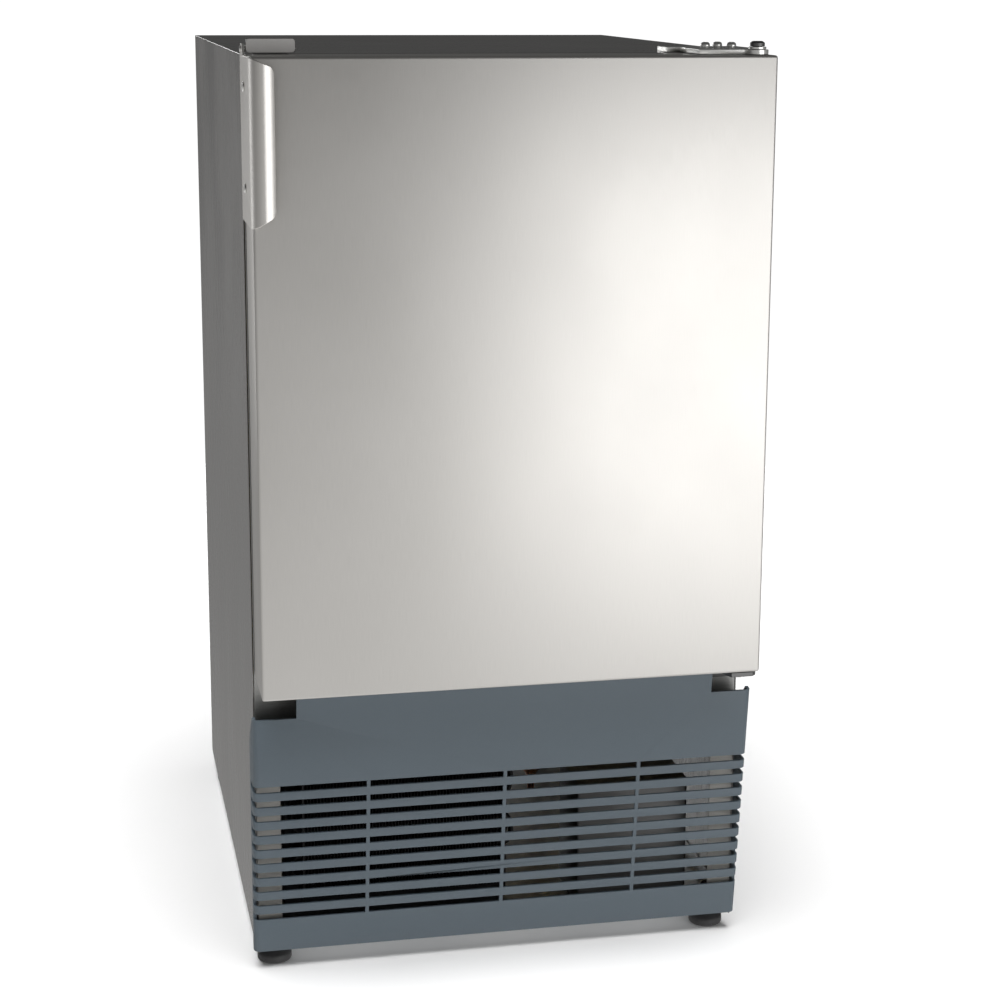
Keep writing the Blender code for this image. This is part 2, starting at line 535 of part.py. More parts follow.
def services():
    """Control box in the bay; water valve, drain stub and power inlet in the recess of the back."""
    add("control_box", box((SERVICES_X - 0.0750, SERVICES_X + 0.0100),
                           (CABINET_FRONT + 0.0250, CABINET_FRONT + 0.0850),
                           (BASE_TOP + GAP, BASE_TOP + 0.1000), 0.0020), DARK_STEEL, smooth=40)
    recess = BACK_PANEL + SHEET + GAP
    valve_low, valve_high = 0.0560, 0.0980 - GAP
    valve = add("water_valve", box((NOZZLE_X - 0.0170, NOZZLE_X + 0.0170), (recess, recess + 0.0120),
                                   (valve_low, valve_high), 0.0015), BLUE_PLASTIC, smooth=40)
    spigot = [(0.0060, 0.0), (0.0060, 0.0080), (0.0045, 0.0090), (0.0045, 0.0220)]
    join(valve, lathe(spigot, (NOZZLE_X, recess + 0.0062, valve_low - 0.0180), "Z", 12))
    drain = [(0.0110, 0.0), (0.0110, 0.0030), (0.0080, 0.0030), (0.0080, 0.0120)]
    add("drain_stub", lathe(drain, (SERVICES_X, recess, 0.1250), "Y", 16), BRASS, smooth=40)
    inlet = add("power_inlet", box((SERVICES_X - 0.0160, SERVICES_X + 0.0160), (recess, recess + 0.0110),
                                   (0.0600, 0.0860),
                               0.0020), BLACK_PLASTIC, smooth=40)
    cut(inlet, box((SERVICES_X - 0.0115, SERVICES_X + 0.0115), (recess + 0.0030, recess + 0.0200),
                   (0.0645, 0.0815)))


# ---------------------------------------------------------------- grille
def grille():
    """Leaning front with rounded corners, side returns over the cabinet, and ten rows of slots."""
    outer = HALF + GAP + GRILLE_WALL
    rear = CABINET_FRONT + GRILLE_OVERLAP
    top = DOOR_BOTTOM - 0.0028
    lean = GRILLE_LEAN / (GRILLE_STEP_TOP - GRILLE_BOTTOM)

    def plan(z):
        front = depth(GRILLE_LEAN_BOTTOM - (z - GRILLE_BOTTOM) * lean)
        points = []
        for inset, corner in ((0.0, GRILLE_CORNER), (GRILLE_WALL, GRILLE_INNER_CORNER)):
            x, y = outer - inset, front + inset
            side = [(-x, rear)]
            side += arc((-x + corner, y + corner), corner, 180, 270, 4)
            side += arc((x - corner, y + corner), corner, 270, 360, 4)
            side += [(x, rear)]
            points += side if inset == 0.0 else side[::-1]
        return points

    bm = prism(plan(GRILLE_BOTTOM), "Z", GRILLE_BOTTOM, top)
    bm.verts.ensure_lookup_table()
    high = [v for v in bm.verts if v.co.z > (GRILLE_BOTTOM + top) / 2]
    for low_point, high_point in zip(plan(GRILLE_BOTTOM), plan(top)):
        vert = min(high, key=lambda v: (v.co.x - low_point[0]) ** 2 + (v.co.y - low_point[1]) ** 2)
        high.remove(vert)
        vert.co.x, vert.co.y = high_point
    panel = add("front_grille", bm, GRILLE_PLASTIC, smooth=40)

    centre = GRILLE_CENTRE_WIDTH / 2
    for x in ((-outer - FIT, -centre), (centre, outer + FIT)):
        cut(panel, box(x, (depth(0.0), rear + 0.0100), (GRILLE_STEP_TOP, top + FIT)))
        shoulder = [(rear - 0.0220, GRILLE_STEP_TOP + FIT), (rear - 0.0220, GRILLE_STEP_TOP - 0.0008),
                    (rear - 0.0050, GRILLE_STEP_TOP - 0.0170), (rear + FIT, GRILLE_STEP_TOP - 0.0280),
                    (rear + FIT, GRILLE_STEP_TOP + FIT)]
        cut(panel, prism(shoulder, "X", *x))

    slots = bmesh.new()
    half_rib = RIB_WIDTH / 2
    columns = [(-outer - FIT, -RIB_SPACING - half_rib), (-RIB_SPACING + half_rib, -half_rib),
               (half_rib, RIB_SPACING - half_rib), (RIB_SPACING + half_rib, outer + FIT)]
    for row in range(SLOT_ROWS):
        z = SLOT_TOP - row * SLOT_PITCH
        for x in columns:
            merge(slots, box(x, (depth(0.0200), rear - 0.0050), (z - SLOT_HEIGHT, z)))
    cut(panel, slots)


# ---------------------------------------------------------------- door
def door():
    """Folded stainless pan, foam core, inner liner with a raised plug, and the gasket."""
    half = DOOR_WIDTH / 2
    skin = add("door_skin", box((-half, half), (depth(0.0), depth(DOOR_THICKNESS)),
                                (DOOR_BOTTOM, CABINET_TOP),
                                DOOR_EDGE_RADIUS, 3), STAINLESS, HINGE, 40)
    inner = half - DOOR_SKIN
    low, high = DOOR_BOTTOM + DOOR_SKIN, CABINET_TOP - DOOR_SKIN
    cut(skin, box((-inner, inner), (depth(DOOR_SKIN), depth(DOOR_THICKNESS + FIT)), (low, high)))

    liner_sheet = 0.0020
    liner_front = depth(DOOR_THICKNESS - 0.0050)
    inner, low, high = inner - GAP, low + GAP, high - GAP
    core = add("door_foam", box((-inner, inner), (depth(DOOR_SKIN + GAP), liner_front - GAP), (low, high)),
               FOAM, HINGE)

    margin = 0.0120
    plug_half = LINER_WIDTH / 2 - margin
    plug_back = liner_front + 0.0215
    panel = add("door_liner", box((-inner, inner), (liner_front, liner_front + liner_sheet), (low, high)),
                WHITE_PLASTIC, HINGE, 40)
    join(panel, box((-plug_half, plug_half), (liner_front + liner_sheet / 2, plug_back),
                    (LINER_BOTTOM + margin, LINER_TOP - margin), 0.0060, square_front=True))
    wall = 0.0020
    cut(panel, box((-plug_half + wall, plug_half - wall), (liner_front - FIT, plug_back - wall),
                   (LINER_BOTTOM + margin + wall, LINER_TOP - margin - wall), 0.0050, square_front=True))

    edge = 0.0105
    width = 0.0140
    outer_half = half - edge
    seal = add("door_gasket", box((-outer_half, outer_half),
                                  (liner_front + liner_sheet + GAP, CABINET_FRONT - GAP),
                                  (DOOR_BOTTOM + edge, CABINET_TOP - edge)), RUBBER, HINGE)
    cut(seal, box((-outer_half + width, outer_half - width), (liner_front, CABINET_FRONT + FIT),
                  (DOOR_BOTTOM + edge + width, CABINET_TOP - edge - width)))

    for piece in (skin, core, panel):
        for z in (DOOR_BOTTOM, CABINET_TOP):
            cut(piece, rod(BUSH_RADIUS + GAP, (HINGE.x, HINGE.y, z - BUSH_LENGTH - GAP), "Z",
                           2 * (BUSH_LENGTH + GAP), 16))
    for name, z in (("hinge_bush_lower", DOOR_BOTTOM), ("hinge_bush_upper", CABINET_TOP - BUSH_LENGTH)):
        bush = add(name, rod(BUSH_RADIUS, (HINGE.x, HINGE.y, z), "Z", BUSH_LENGTH, 16), WHITE_PLASTIC,
                   HINGE, 40)
        cut(bush, rod(PIN_RADIUS + GAP, (HINGE.x, HINGE.y, z - FIT), "Z", BUSH_LENGTH + 2 * FIT, 16))


BUSH_RADIUS = 0.0048
BUSH_LENGTH = 0.0120
PIN_RADIUS = 0.0030
HINGE_PLATE = 0.0032
HINGE_RUN = 0.0006            # running clearance between the door's edges and the hinge plates


def top_hinge():
    """Flat arm screwed to the cabinet top that reaches over the door, with its pin, washer and screws."""
    low = CABINET_TOP + GAP
    high = low + HINGE_PLATE
    rear, shoulder = CABINET_FRONT + 0.0240, CABINET_FRONT + 0.0010
    front = depth(0.0140)
    right = HALF - 0.0058
    left = right - 0.0470
    lobe = 0.0075
    outline = [(left - 0.0100, rear), (right, rear), (right, HINGE.y)]
    outline += arc((HINGE.x, HINGE.y), lobe, 0, -180, 10)[1:]
    outline += [(HINGE.x - lobe, front), (left, front), (left, shoulder), (left - 0.0100, shoulder)]
    plate = add("top_hinge_plate", prism(outline, "Z", low, high), BRIGHT)
    cut(plate, rod(PIN_RADIUS + GAP, (HINGE.x, HINGE.y, low - FIT), "Z", HINGE_PLATE + 2 * FIT))
    screws = [(right - 0.0270, shoulder + 0.0080), (right - 0.0160, shoulder + 0.0150),
              (right - 0.0080, shoulder + 0.0080)]
    head_radius, shank = 0.0033, 0.0019
    for i, (x, y) in enumerate(screws):
        cut(plate, rod(shank + GAP, (x, y, low - FIT), "Z", HINGE_PLATE + 2 * FIT, 12))
        profile = [(shank, low), (shank, high + GAP), (head_radius, high + GAP), (head_radius, high + 0.0026),
                   (head_radius - 0.0008, high + 0.0034)]
        add(f"top_hinge_screw_{i + 1}", lathe(profile, (x, y, 0.0), "Z", 12), BRIGHT, smooth=40)
    washer_top = high + 0.0018
    washer = add("top_hinge_washer", rod(0.0060, (HINGE.x, HINGE.y, high + GAP), "Z",
                                         washer_top - high - GAP, 18),
                 BRIGHT, smooth=40)
    cut(washer, rod(PIN_RADIUS + GAP, (HINGE.x, HINGE.y, high), "Z", 0.004))
    profile = [(PIN_RADIUS, CABINET_TOP - BUSH_LENGTH + FIT), (PIN_RADIUS, washer_top + GAP),
               (0.0050, washer_top + GAP),
               (0.0050, washer_top + 0.0026), (0.0034, washer_top + 0.0038)]
    add("top_hinge_pin", lathe(profile, (HINGE.x, HINGE.y, 0.0), "Z", 16), DARK_STEEL, smooth=40)


def bottom_hinge():
    """Angle bracket screwed to the cabinet front, with a gusset and the pin that carries the door."""
    high = DOOR_BOTTOM - HINGE_RUN
    low = high - HINGE_PLATE
    left, right = GRILLE_CENTRE_WIDTH / 2 + 0.0012, HALF - 0.0030
    back = CABINET_FRONT - GAP
    drop = 0.0200
    front = depth(0.0020)
    outline = [(left, back), (left, front + 0.0120), (left + 0.0050, front)]
    outline += [(right - 0.0030, front), (right, front + 0.0030), (right, back)]
    bracket = add("bottom_hinge_bracket", prism(outline, "Z", low, high), DARK_STEEL)
    join(bracket, box((left, right), (back - 0.0028, back), (high - drop, high)))
    web = [(back - 0.0010, low + 0.0010), (HINGE.y + 0.0100, low + 0.0010),
           (back - 0.0010, high - drop + 0.0030)]
    join(bracket, prism(web, "X", right - 0.0025, right))
    cut(bracket, rod(PIN_RADIUS + GAP, (HINGE.x, HINGE.y, low - FIT), "Z", HINGE_PLATE + 2 * FIT))
    head = 0.0018
    profile = [(0.0052, low - GAP - head), (0.0052, low - GAP), (PIN_RADIUS, low - GAP),
               (PIN_RADIUS, DOOR_BOTTOM + BUSH_LENGTH - FIT)]
    add("bottom_hinge_pin", lathe(profile, (HINGE.x, HINGE.y, 0.0), "Z", 16), BRIGHT, smooth=40)
    z = high - drop / 2 - HINGE_PLATE / 2
    for x, name in ((left + 0.0055, "bottom_hinge_screw_left"), (right - 0.0085, "bottom_hinge_screw_right")):
        shank = 0.0018
        cut(bracket, rod(shank + GAP, (x, back - 0.0028 - FIT, z), "Y", 0.0028 + 2 * FIT, 12))
        profile = [(0.0020, -0.0056), (0.0031, -0.0048), (0.0031, -0.0028 - GAP), (shank, -0.0028 - GAP),
                   (shank, 0.0)]
        add(name, lathe(profile, (x, back, z), "Y", 12), BRIGHT, smooth=40)


# ---------------------------------------------------------------- handle and latch
HANDLE_OUTER = -DOOR_WIDTH / 2 - GAP - HANDLE_SHEET
LATCH_Z = CABINET_TOP + 0.0036
LATCH_Y = depth(DOOR_THICKNESS - 0.0060)
LATCH_LEFT = HANDLE_OUTER + 0.0060
LATCH_RIGHT = LATCH_LEFT + 0.0295
LATCH_BORE = 0.0014


def handle():
    """Bent sheet pull: a flange on the door's left edge that curls round in front of the door."""
    top = CABINET_TOP - GAP
    bottom = top - HANDLE_HEIGHT
    lip_x = HANDLE_OUTER + HANDLE_LIP
    back = depth(DOOR_THICKNESS + DOOR_GAP - 0.0010)
    points = [(HANDLE_OUTER, back)]
    for i in range(9):
        angle = radians(90 * i / 8)
        points.append((lip_x - HANDLE_LIP * cos(angle), depth(0.0) - HANDLE_REACH * sin(angle)))
    for i in reversed(range(9)):
        angle = radians(90 * i / 8)
        points.append((lip_x - (HANDLE_LIP - HANDLE_SHEET) * cos(angle),
                       depth(0.0) - (HANDLE_REACH - HANDLE_SHEET) * sin(angle)))
    points.append((HANDLE_OUTER + HANDLE_SHEET, back))
    ear_top = LATCH_Z + 0.0035
    pull = add("door_handle", prism(points, "Z", bottom, ear_top), STAINLESS, HINGE, 40)
    beyond = ear_top + FIT
    for side, end in ((-1, depth(-HANDLE_REACH - FIT)), (1, back + FIT)):
        beside_ear = [(LATCH_Y + side * 0.0060, top), (end, top), (end, beyond), (LATCH_Y + side * 0.0030, beyond)]
        cut(pull, prism(beside_ear, "X", HANDLE_OUTER - FIT, lip_x + FIT))

    corner = 0.0040
    span = (depth(-HANDLE_REACH - FIT), depth(-GAP))
    for end, taper, sign in ((top, 0.0060, 1), (bottom, 0.0085, -1)):
        level = end - sign * taper
        wedge = [(HANDLE_OUTER - FIT, end + sign * FIT), (lip_x - corner, level + sign * 0.0008),
                 (lip_x - 0.0012, level - sign * 0.0012),
                 (lip_x + FIT, level - sign * corner), (lip_x + FIT, end + sign * FIT)]
        cut(pull, prism(wedge, "Y", *span))

    cut(pull, rod(LATCH_BORE + GAP, (HANDLE_OUTER - FIT, LATCH_Y, LATCH_Z), "X", HANDLE_SHEET + 2 * FIT, 12))

    screw_y = depth(DOOR_THICKNESS * 0.563)
    shank = 0.0017
    for z, name in ((top - 0.0200, "handle_screw_upper"), (bottom + 0.0230, "handle_screw_lower")):
        for piece in (pull, bpy.data.objects["door_skin"], bpy.data.objects["door_foam"]):
            cut(piece, rod(shank + GAP, (HANDLE_OUTER - FIT, screw_y, z), "X", 0.0120, 12))
        profile = [(0.0026, -0.0014), (0.0034, -0.0009), (0.0034, -GAP), (shank, -GAP), (shank, 0.0100)]
        add(name, lathe(profile, (HANDLE_OUTER, screw_y, z), "X", 12), BRIGHT, HINGE, 40)


def latch():
    """Sprung thumb latch on a pin through the handle's ear; its toe rests over the cabinet top."""
    pivot = (0.0, LATCH_Y, LATCH_Z)
    profile = [(0.0022, -0.0011), (0.0022, -GAP), (LATCH_BORE, -GAP),
               (LATCH_BORE, LATCH_RIGHT - HANDLE_OUTER)]
    add("latch_pin", lathe(profile, (HANDLE_OUTER, LATCH_Y, LATCH_Z), "X", 12), BRIGHT, HINGE, 40)
    barrel = LATCH_BORE + GAP + 0.0010
    sheet = 0.0016
    tab_left = HANDLE_OUTER + HANDLE_SHEET + 0.0020
    top = CABINET_TOP + 0.0102
    corner = 0.0024
    outline = [(LATCH_LEFT, LATCH_Z), (LATCH_RIGHT - GAP, LATCH_Z)]
    outline += arc((LATCH_RIGHT - GAP - corner, top - corner), corner, 0, 90, 4)
    outline += arc((tab_left + corner, top - corner), corner, 90, 180, 4)
    outline += [(tab_left, LATCH_Z + barrel + 0.0008), (LATCH_LEFT, LATCH_Z + barrel + 0.0008)]
    lever = add("latch_lever", prism(outline, "Y", LATCH_Y - sheet / 2, LATCH_Y + sheet / 2), STAINLESS,
                pivot, 40)
    join(lever, rod(barrel, (LATCH_LEFT, LATCH_Y, LATCH_Z), "X", LATCH_RIGHT - GAP - LATCH_LEFT, 16))
    toe_low = CABINET_TOP + 0.0009
    join(lever, box((LATCH_LEFT + 0.0030, LATCH_RIGHT - 0.0030), (LATCH_Y, CABINET_FRONT + 0.0100),
                    (toe_low, toe_low + sheet)))
    cut(lever, rod(LATCH_BORE + GAP, (LATCH_LEFT - FIT, LATCH_Y, LATCH_Z), "X",
                   LATCH_RIGHT - LATCH_LEFT + 2 * FIT, 12))

    coil, wire, turns, per_turn = 0.0020, 0.00028, 3, 10
    start = HANDLE_OUTER + HANDLE_SHEET + 3 * GAP
    length = LATCH_LEFT - 3 * GAP - start
    helix = []
    for i in range(turns * per_turn + 1):
        angle = 2 * pi * i / per_turn
        helix.append((start + length * i / (turns * per_turn), LATCH_Y + coil * cos(angle),
                      LATCH_Z + coil * sin(angle)))
    pipe("latch_spring", helix, wire, BRIGHT, HINGE, 1)


cabinet()
feet()
ice_maker()
ice_bin()
refrigeration()
services()
grille()
door()
top_hinge()
bottom_hinge()
handle()
latch()
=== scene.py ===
# %% [markdown]
# # An under-counter ice maker, finished for the studio
# The engineer's model gives every part its real place and size. This lesson puts the looks on it:
# softened edges, small details and finishes, then a floor, lights and a camera.

# %% Load the frame
import json
from math import cos, pi, radians, sin

import bmesh
import bpy
from mathutils import Matrix, Vector

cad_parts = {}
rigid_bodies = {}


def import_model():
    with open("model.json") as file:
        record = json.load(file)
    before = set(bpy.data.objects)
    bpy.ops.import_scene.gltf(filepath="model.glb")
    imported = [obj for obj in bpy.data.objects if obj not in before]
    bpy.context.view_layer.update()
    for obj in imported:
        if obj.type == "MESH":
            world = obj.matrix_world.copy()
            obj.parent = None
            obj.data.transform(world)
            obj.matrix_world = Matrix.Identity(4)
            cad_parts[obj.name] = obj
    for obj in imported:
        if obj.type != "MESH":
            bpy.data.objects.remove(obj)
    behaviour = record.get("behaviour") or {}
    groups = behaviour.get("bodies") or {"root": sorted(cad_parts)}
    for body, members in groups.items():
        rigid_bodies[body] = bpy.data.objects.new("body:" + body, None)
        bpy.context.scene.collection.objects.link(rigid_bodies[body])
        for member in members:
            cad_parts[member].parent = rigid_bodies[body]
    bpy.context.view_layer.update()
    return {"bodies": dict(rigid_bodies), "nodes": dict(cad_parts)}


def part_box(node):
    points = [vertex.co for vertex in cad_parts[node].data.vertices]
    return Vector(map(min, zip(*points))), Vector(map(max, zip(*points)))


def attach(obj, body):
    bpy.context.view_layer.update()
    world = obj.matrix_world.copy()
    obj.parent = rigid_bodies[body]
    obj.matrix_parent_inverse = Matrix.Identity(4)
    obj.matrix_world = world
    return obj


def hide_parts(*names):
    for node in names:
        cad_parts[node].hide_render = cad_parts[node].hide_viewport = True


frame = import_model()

BODY_OF = {name: body for body, empty in frame["bodies"].items()
           for name, node in frame["nodes"].items() if node.parent == empty}
SLOT_OF = {name: node.data.materials[0].name for name, node in frame["nodes"].items()}

# %% [markdown]
# ## Patterns that every finish is made of
# A real surface is never one flat colour. Rolled steel has fine lines from the abrasive belt, moulded
# plastic has a spark-eroded grain, paint has a slight orange peel, and all of them carry faint broad
# patches from handling. Each of those is a noise pattern at its own size, so the first helpers make
# a pattern of a given size in metres, and turn it into a colour, a number or a relief.

# %% Pattern helpers
def pattern(tree, size, stretch=(1.0, 1.0, 1.0), detail=3.0, kind="ShaderNodeTexNoise"):
    """A pattern on object coordinates whose patches are about size metres, longer along stretch."""
    place = tree.nodes.new("ShaderNodeTexCoord")
    turn = tree.nodes.new("ShaderNodeMapping")
    turn.inputs["Scale"].default_value = [1.0 / (size * s) for s in stretch]
    tex = tree.nodes.new(kind)
    tex.inputs["Scale"].default_value = 1.0
    tex.inputs["Detail"].default_value = detail
    tree.links.new(place.outputs["Object"], turn.inputs["Vector"])
    tree.links.new(turn.outputs["Vector"], tex.inputs["Vector"])
    return tex.outputs["Distance" if kind == "ShaderNodeTexVoronoi" else "Fac"]


def between(tree, factor, low, high, start=0.3, stop=0.7):
    """A number that runs from low to high as the pattern goes from start to stop."""
    span = tree.nodes.new("ShaderNodeMapRange")
    for socket, value in zip(("From Min", "From Max", "To Min", "To Max"), (start, stop, low, high)):
        span.inputs[socket].default_value = value
    tree.links.new(factor, span.inputs["Value"])
    return span.outputs["Result"]


def shades(tree, factor, dark, light):
    """A colour ramp between two shades."""
    ramp = tree.nodes.new("ShaderNodeValToRGB")
    for stop, colour, place in zip(ramp.color_ramp.elements, (dark, light), (0.32, 0.68)):
        stop.position, stop.color = place, (*colour, 1.0)
    tree.links.new(factor, ramp.inputs["Fac"])
    return ramp.outputs["Color"]


def times(tree, colour_a, colour_b, amount=1.0):
    """One colour darkened by another."""
    mix = tree.nodes.new("ShaderNodeMix")
    mix.data_type, mix.blend_type = "RGBA", "MULTIPLY"
    mix.inputs["Factor"].default_value = amount
    tree.links.new(colour_a, mix.inputs[6])
    tree.links.new(colour_b, mix.inputs[7])
    return mix.outputs[2]


def relief(tree, heights, shader):
    """Stacks bump patterns, each (pattern, strength, distance), into the shader's normal."""
    under = None
    for height, strength, distance in heights:
        bump = tree.nodes.new("ShaderNodeBump")
        bump.inputs["Strength"].default_value = strength
        bump.inputs["Distance"].default_value = distance
        tree.links.new(height, bump.inputs["Height"])
        if under:
            tree.links.new(under, bump.inputs["Normal"])
        under = bump.outputs["Normal"]
    tree.links.new(under, shader.inputs["Normal"])


def new_finish(name, metallic, **sockets):
    mat = bpy.data.materials.new(name)
    mat.use_nodes = True
    shader = mat.node_tree.nodes["Principled BSDF"]
    shader.inputs["Metallic"].default_value = metallic
    for socket, value in sockets.items():
        shader.inputs[socket.replace("_", " ")].default_value = value
    return mat, mat.node_tree, shader


def tone(colour, by):
    return tuple(min(1.0, c * by) for c in colour)


print("pattern helpers ready")

# %% [markdown]
# ## Brushed and rolled metals
# The door, the pull and the latch are number 4 stainless: short straight scratches, all one way, a
# hair wide and a few centimetres long. The scratches change the colour a little and the gloss more,
# and give a very shallow relief. The cabinet is a plainer, darker rolled sheet. One helper makes
# both, from a pattern stretched along the grain, and a second broad pattern for handling marks.
# The latch's steel is painted darker than the door's, which is painted shade.
# The pull's steel is painted lighter than the door's, a painted reflection of the bright backdrop.

# %% Brushed metal
def brushed(name, colour, gloss, along="Z", line=0.00035, contrast=0.05, depth=0.05, marks=0.03):
    """Sheet metal with a straight grain along one axis."""
    mat, tree, shader = new_finish(name, 1.0)
    stretch = [45.0 if axis == along else 1.0 for axis in "XYZ"]
    lines = pattern(tree, line, stretch, 4.0)
    clouds = pattern(tree, 0.11, (1.0, 1.0, 1.4), 4.0)
    marked = pattern(tree, 0.012, [5.0 if axis == along else 1.0 for axis in "XYZ"], 5.0)
    grain = shades(tree, lines, tone(colour, 1 - contrast), tone(colour, 1 + contrast))
    handled = shades(tree, clouds, (1 - marks, 1 - marks, 1 - marks * 1.1), (1.0, 1.0, 1.0))
    tree.links.new(times(tree, grain, handled), shader.inputs["Base Color"])
    rough = tree.nodes.new("ShaderNodeMath")
    rough.operation = "ADD"
    tree.links.new(between(tree, lines, -0.035, 0.035), rough.inputs[0])
    tree.links.new(between(tree, clouds, gloss - 0.03, gloss + 0.03), rough.inputs[1])
    tree.links.new(rough.outputs[0], shader.inputs["Roughness"])
    relief(tree, [(marked, 0.05, 0.0003), (lines, depth, 0.00008)], shader)
    return mat


DOOR_STEEL = brushed("door_brushed_steel", (0.66, 0.645, 0.622), 0.40, "Z", 0.0003, 0.025, 0.035)
# The pull is the door's stainless painted lighter: a painted reflection.
PULL_STEEL_PAINTED_REFLECTION = brushed("pull_steel_painted_reflection", (0.80, 0.78, 0.75), 0.36, "Z", 0.0003, 0.03, 0.03)
# The latch tab is the door's stainless painted darker: painted shade.
TAB_STEEL_PAINTED_SHADE = brushed("tab_steel_painted_shade", (0.52, 0.51, 0.50), 0.40, "Z", 0.0003, 0.02, 0.015)
CASE_STEEL = brushed("cabinet_rolled_steel", (0.37, 0.362, 0.355), 0.27, "Z", 0.0006, 0.04, 0.04, 0.06)
FRAME_STEEL = brushed("frame_steel", (0.40, 0.40, 0.39), 0.42, "X", 0.0006, 0.05)
BRIGHT_STEEL = brushed("zinc_plated_steel", (0.80, 0.80, 0.78), 0.24, "X", 0.0003, 0.06, 0.03)
DARK_STEEL = brushed("dark_steel", (0.16, 0.16, 0.16), 0.42, "X", 0.0005, 0.12, 0.05, 0.15)
# The condenser's near-black is painted shade for the dark inside the machine bay.
FIN_METAL_PAINTED_SHADE = brushed("fin_metal_painted_shade", (0.045, 0.045, 0.046), 0.50, "Z", 0.0008, 0.15, 0.06, 0.25)
ALUMINIUM = brushed("mould_aluminium", (0.66, 0.67, 0.68), 0.38, "Y", 0.0008, 0.06, 0.08, 0.08)
COPPER = brushed("drawn_copper", (0.78, 0.40, 0.25), 0.30, "Z", 0.0007, 0.10, 0.05, 0.22)
BRASS = brushed("turned_brass", (0.76, 0.58, 0.28), 0.28, "X", 0.0004, 0.08, 0.05, 0.12)
print("brushed metals:", [m.name for m in bpy.data.materials if "steel" in m.name or "copper" in m.name])

# %% [markdown]
# ## Galvanised sheet
# The back panel and the base are zinc-coated. Zinc freezes in leaf-shaped crystals, the spangle, each
# a slightly different grey. A Voronoi pattern has that shape, so it sets the colour and the gloss.

# %% Galvanised sheet
def galvanised(name, colour):
    mat, tree, shader = new_finish(name, 1.0)
    place = tree.nodes.new("ShaderNodeTexCoord")
    cells = tree.nodes.new("ShaderNodeTexVoronoi")
    cells.inputs["Scale"].default_value = 170.0
    cells.inputs["Randomness"].default_value = 1.0
    tree.links.new(place.outputs["Object"], cells.inputs["Vector"])
    grey = tree.nodes.new("ShaderNodeRGBToBW")
    tree.links.new(cells.outputs["Color"], grey.inputs["Color"])
    clouds = pattern(tree, 0.09, detail=5.0)
    spangle = shades(tree, grey.outputs["Val"], tone(colour, 0.93), tone(colour, 1.05))
    dull = shades(tree, clouds, (0.86, 0.87, 0.88), (1.0, 1.0, 1.0))
    tree.links.new(times(tree, spangle, dull), shader.inputs["Base Color"])
    tree.links.new(between(tree, grey.outputs["Val"], 0.36, 0.50, 0.1, 0.9), shader.inputs["Roughness"])
    relief(tree, [(pattern(tree, 0.004, detail=5.0), 0.08, 0.0003)], shader)
    return mat


ZINC = galvanised("galvanised_sheet", (0.60, 0.61, 0.62))
print("galvanised sheet ready")

# %% [markdown]
# ## Moulded plastics, rubber, foam and paint
# The grille is a satin moulding with a fine eroded texture. The liner and the ice maker's housing are
# smoother white plastic with a slight waviness, and the feet, fan and rubber are matt black. They
# differ in the size and depth of the grain and in gloss, so one helper makes them all.

# %% Moulded finishes
def moulded(name, colour, gloss, grain=0.0005, depth=0.10, uneven=0.04, waves=0.0, **sockets):
    """A moulded or coated surface: eroded grain, faint patches, and a slow waviness."""
    mat, tree, shader = new_finish(name, 0.0, **sockets)
    stipple = pattern(tree, grain, detail=2.0)
    clouds = pattern(tree, 0.07, detail=5.0)
    scuffs = pattern(tree, 0.006, (1.0, 3.0, 1.0), 6.0)
    fine = shades(tree, stipple, tone(colour, 1 - uneven), tone(colour, 1 + uneven))
    patches = shades(tree, clouds, (1 - uneven, 1 - uneven, 1 - uneven), (1.0, 1.0, 1.0))
    tree.links.new(times(tree, fine, patches), shader.inputs["Base Color"])
    rough = tree.nodes.new("ShaderNodeMath")
    rough.operation = "ADD"
    tree.links.new(between(tree, clouds, gloss - 0.04, gloss + 0.04), rough.inputs[0])
    tree.links.new(between(tree, scuffs, -0.03, 0.05), rough.inputs[1])
    tree.links.new(rough.outputs[0], shader.inputs["Roughness"])
    heights = [(stipple, depth, 0.00012)]
    if waves:
        heights.insert(0, (pattern(tree, 0.03, detail=1.0), waves, 0.0012))
    relief(tree, heights, shader)
    return mat


GRILLE = moulded("grille_moulding", (0.074, 0.097, 0.116), 0.44, 0.0006, 0.16, 0.035, 0.06)
WHITE = moulded("liner_white", (0.80, 0.815, 0.81), 0.30, 0.0012, 0.04, 0.015, 0.03)
HOUSING_WHITE = moulded("housing_white", (0.74, 0.75, 0.74), 0.38, 0.0005, 0.12, 0.02, 0.06)
BLACK = moulded("black_moulding", (0.022, 0.022, 0.024), 0.46, 0.0005, 0.14, 0.10, 0.05)
FOOT_BLACK = moulded("foot_moulding", (0.030, 0.030, 0.031), 0.55, 0.0006, 0.18, 0.12)
RUBBER = moulded("gasket_rubber", (0.055, 0.056, 0.058), 0.62, 0.0004, 0.16, 0.10)
BIN = moulded("bin_plastic_finish", (0.62, 0.70, 0.75), 0.26, 0.0009, 0.06, 0.02, 0.05, Coat_Weight=0.15)
VALVE = moulded("valve_blue", (0.07, 0.17, 0.40), 0.36, 0.0006, 0.10, 0.05, 0.08)
FOAM = moulded("injected_foam", (0.80, 0.66, 0.36), 0.88, 0.0022, 0.60, 0.10, 0.30)
FLANGE_GREY = moulded("flange_primer_grey", (0.40, 0.39, 0.365), 0.40, 0.0008, 0.06, 0.03, 0.04)
PAINT = moulded("black_enamel", (0.034, 0.034, 0.037), 0.30, 0.0024, 0.05, 0.08, 0.06, Coat_Weight=0.25)
print("moulded finishes:", GRILLE.name, WHITE.name, BLACK.name, PAINT.name)

# %% [markdown]
# ## Softening the engineer's edges
# The parts come with knife-sharp edges. Bent sheet has a bend radius, a moulding has a radius from
# its tool, and turned parts are broken at the lathe, and those narrow bands are what catch the light.
# A copy of each part has its loose triangles merged, its flat faces joined again, and a live bevel on
# every edge sharper than a set angle, with the flats kept flat by hardened normals.

# %% Soften a part
KEEP_TRIANGLES = ("front_grille",)    # forty slots in one leaning face: joined, it would be one huge polygon


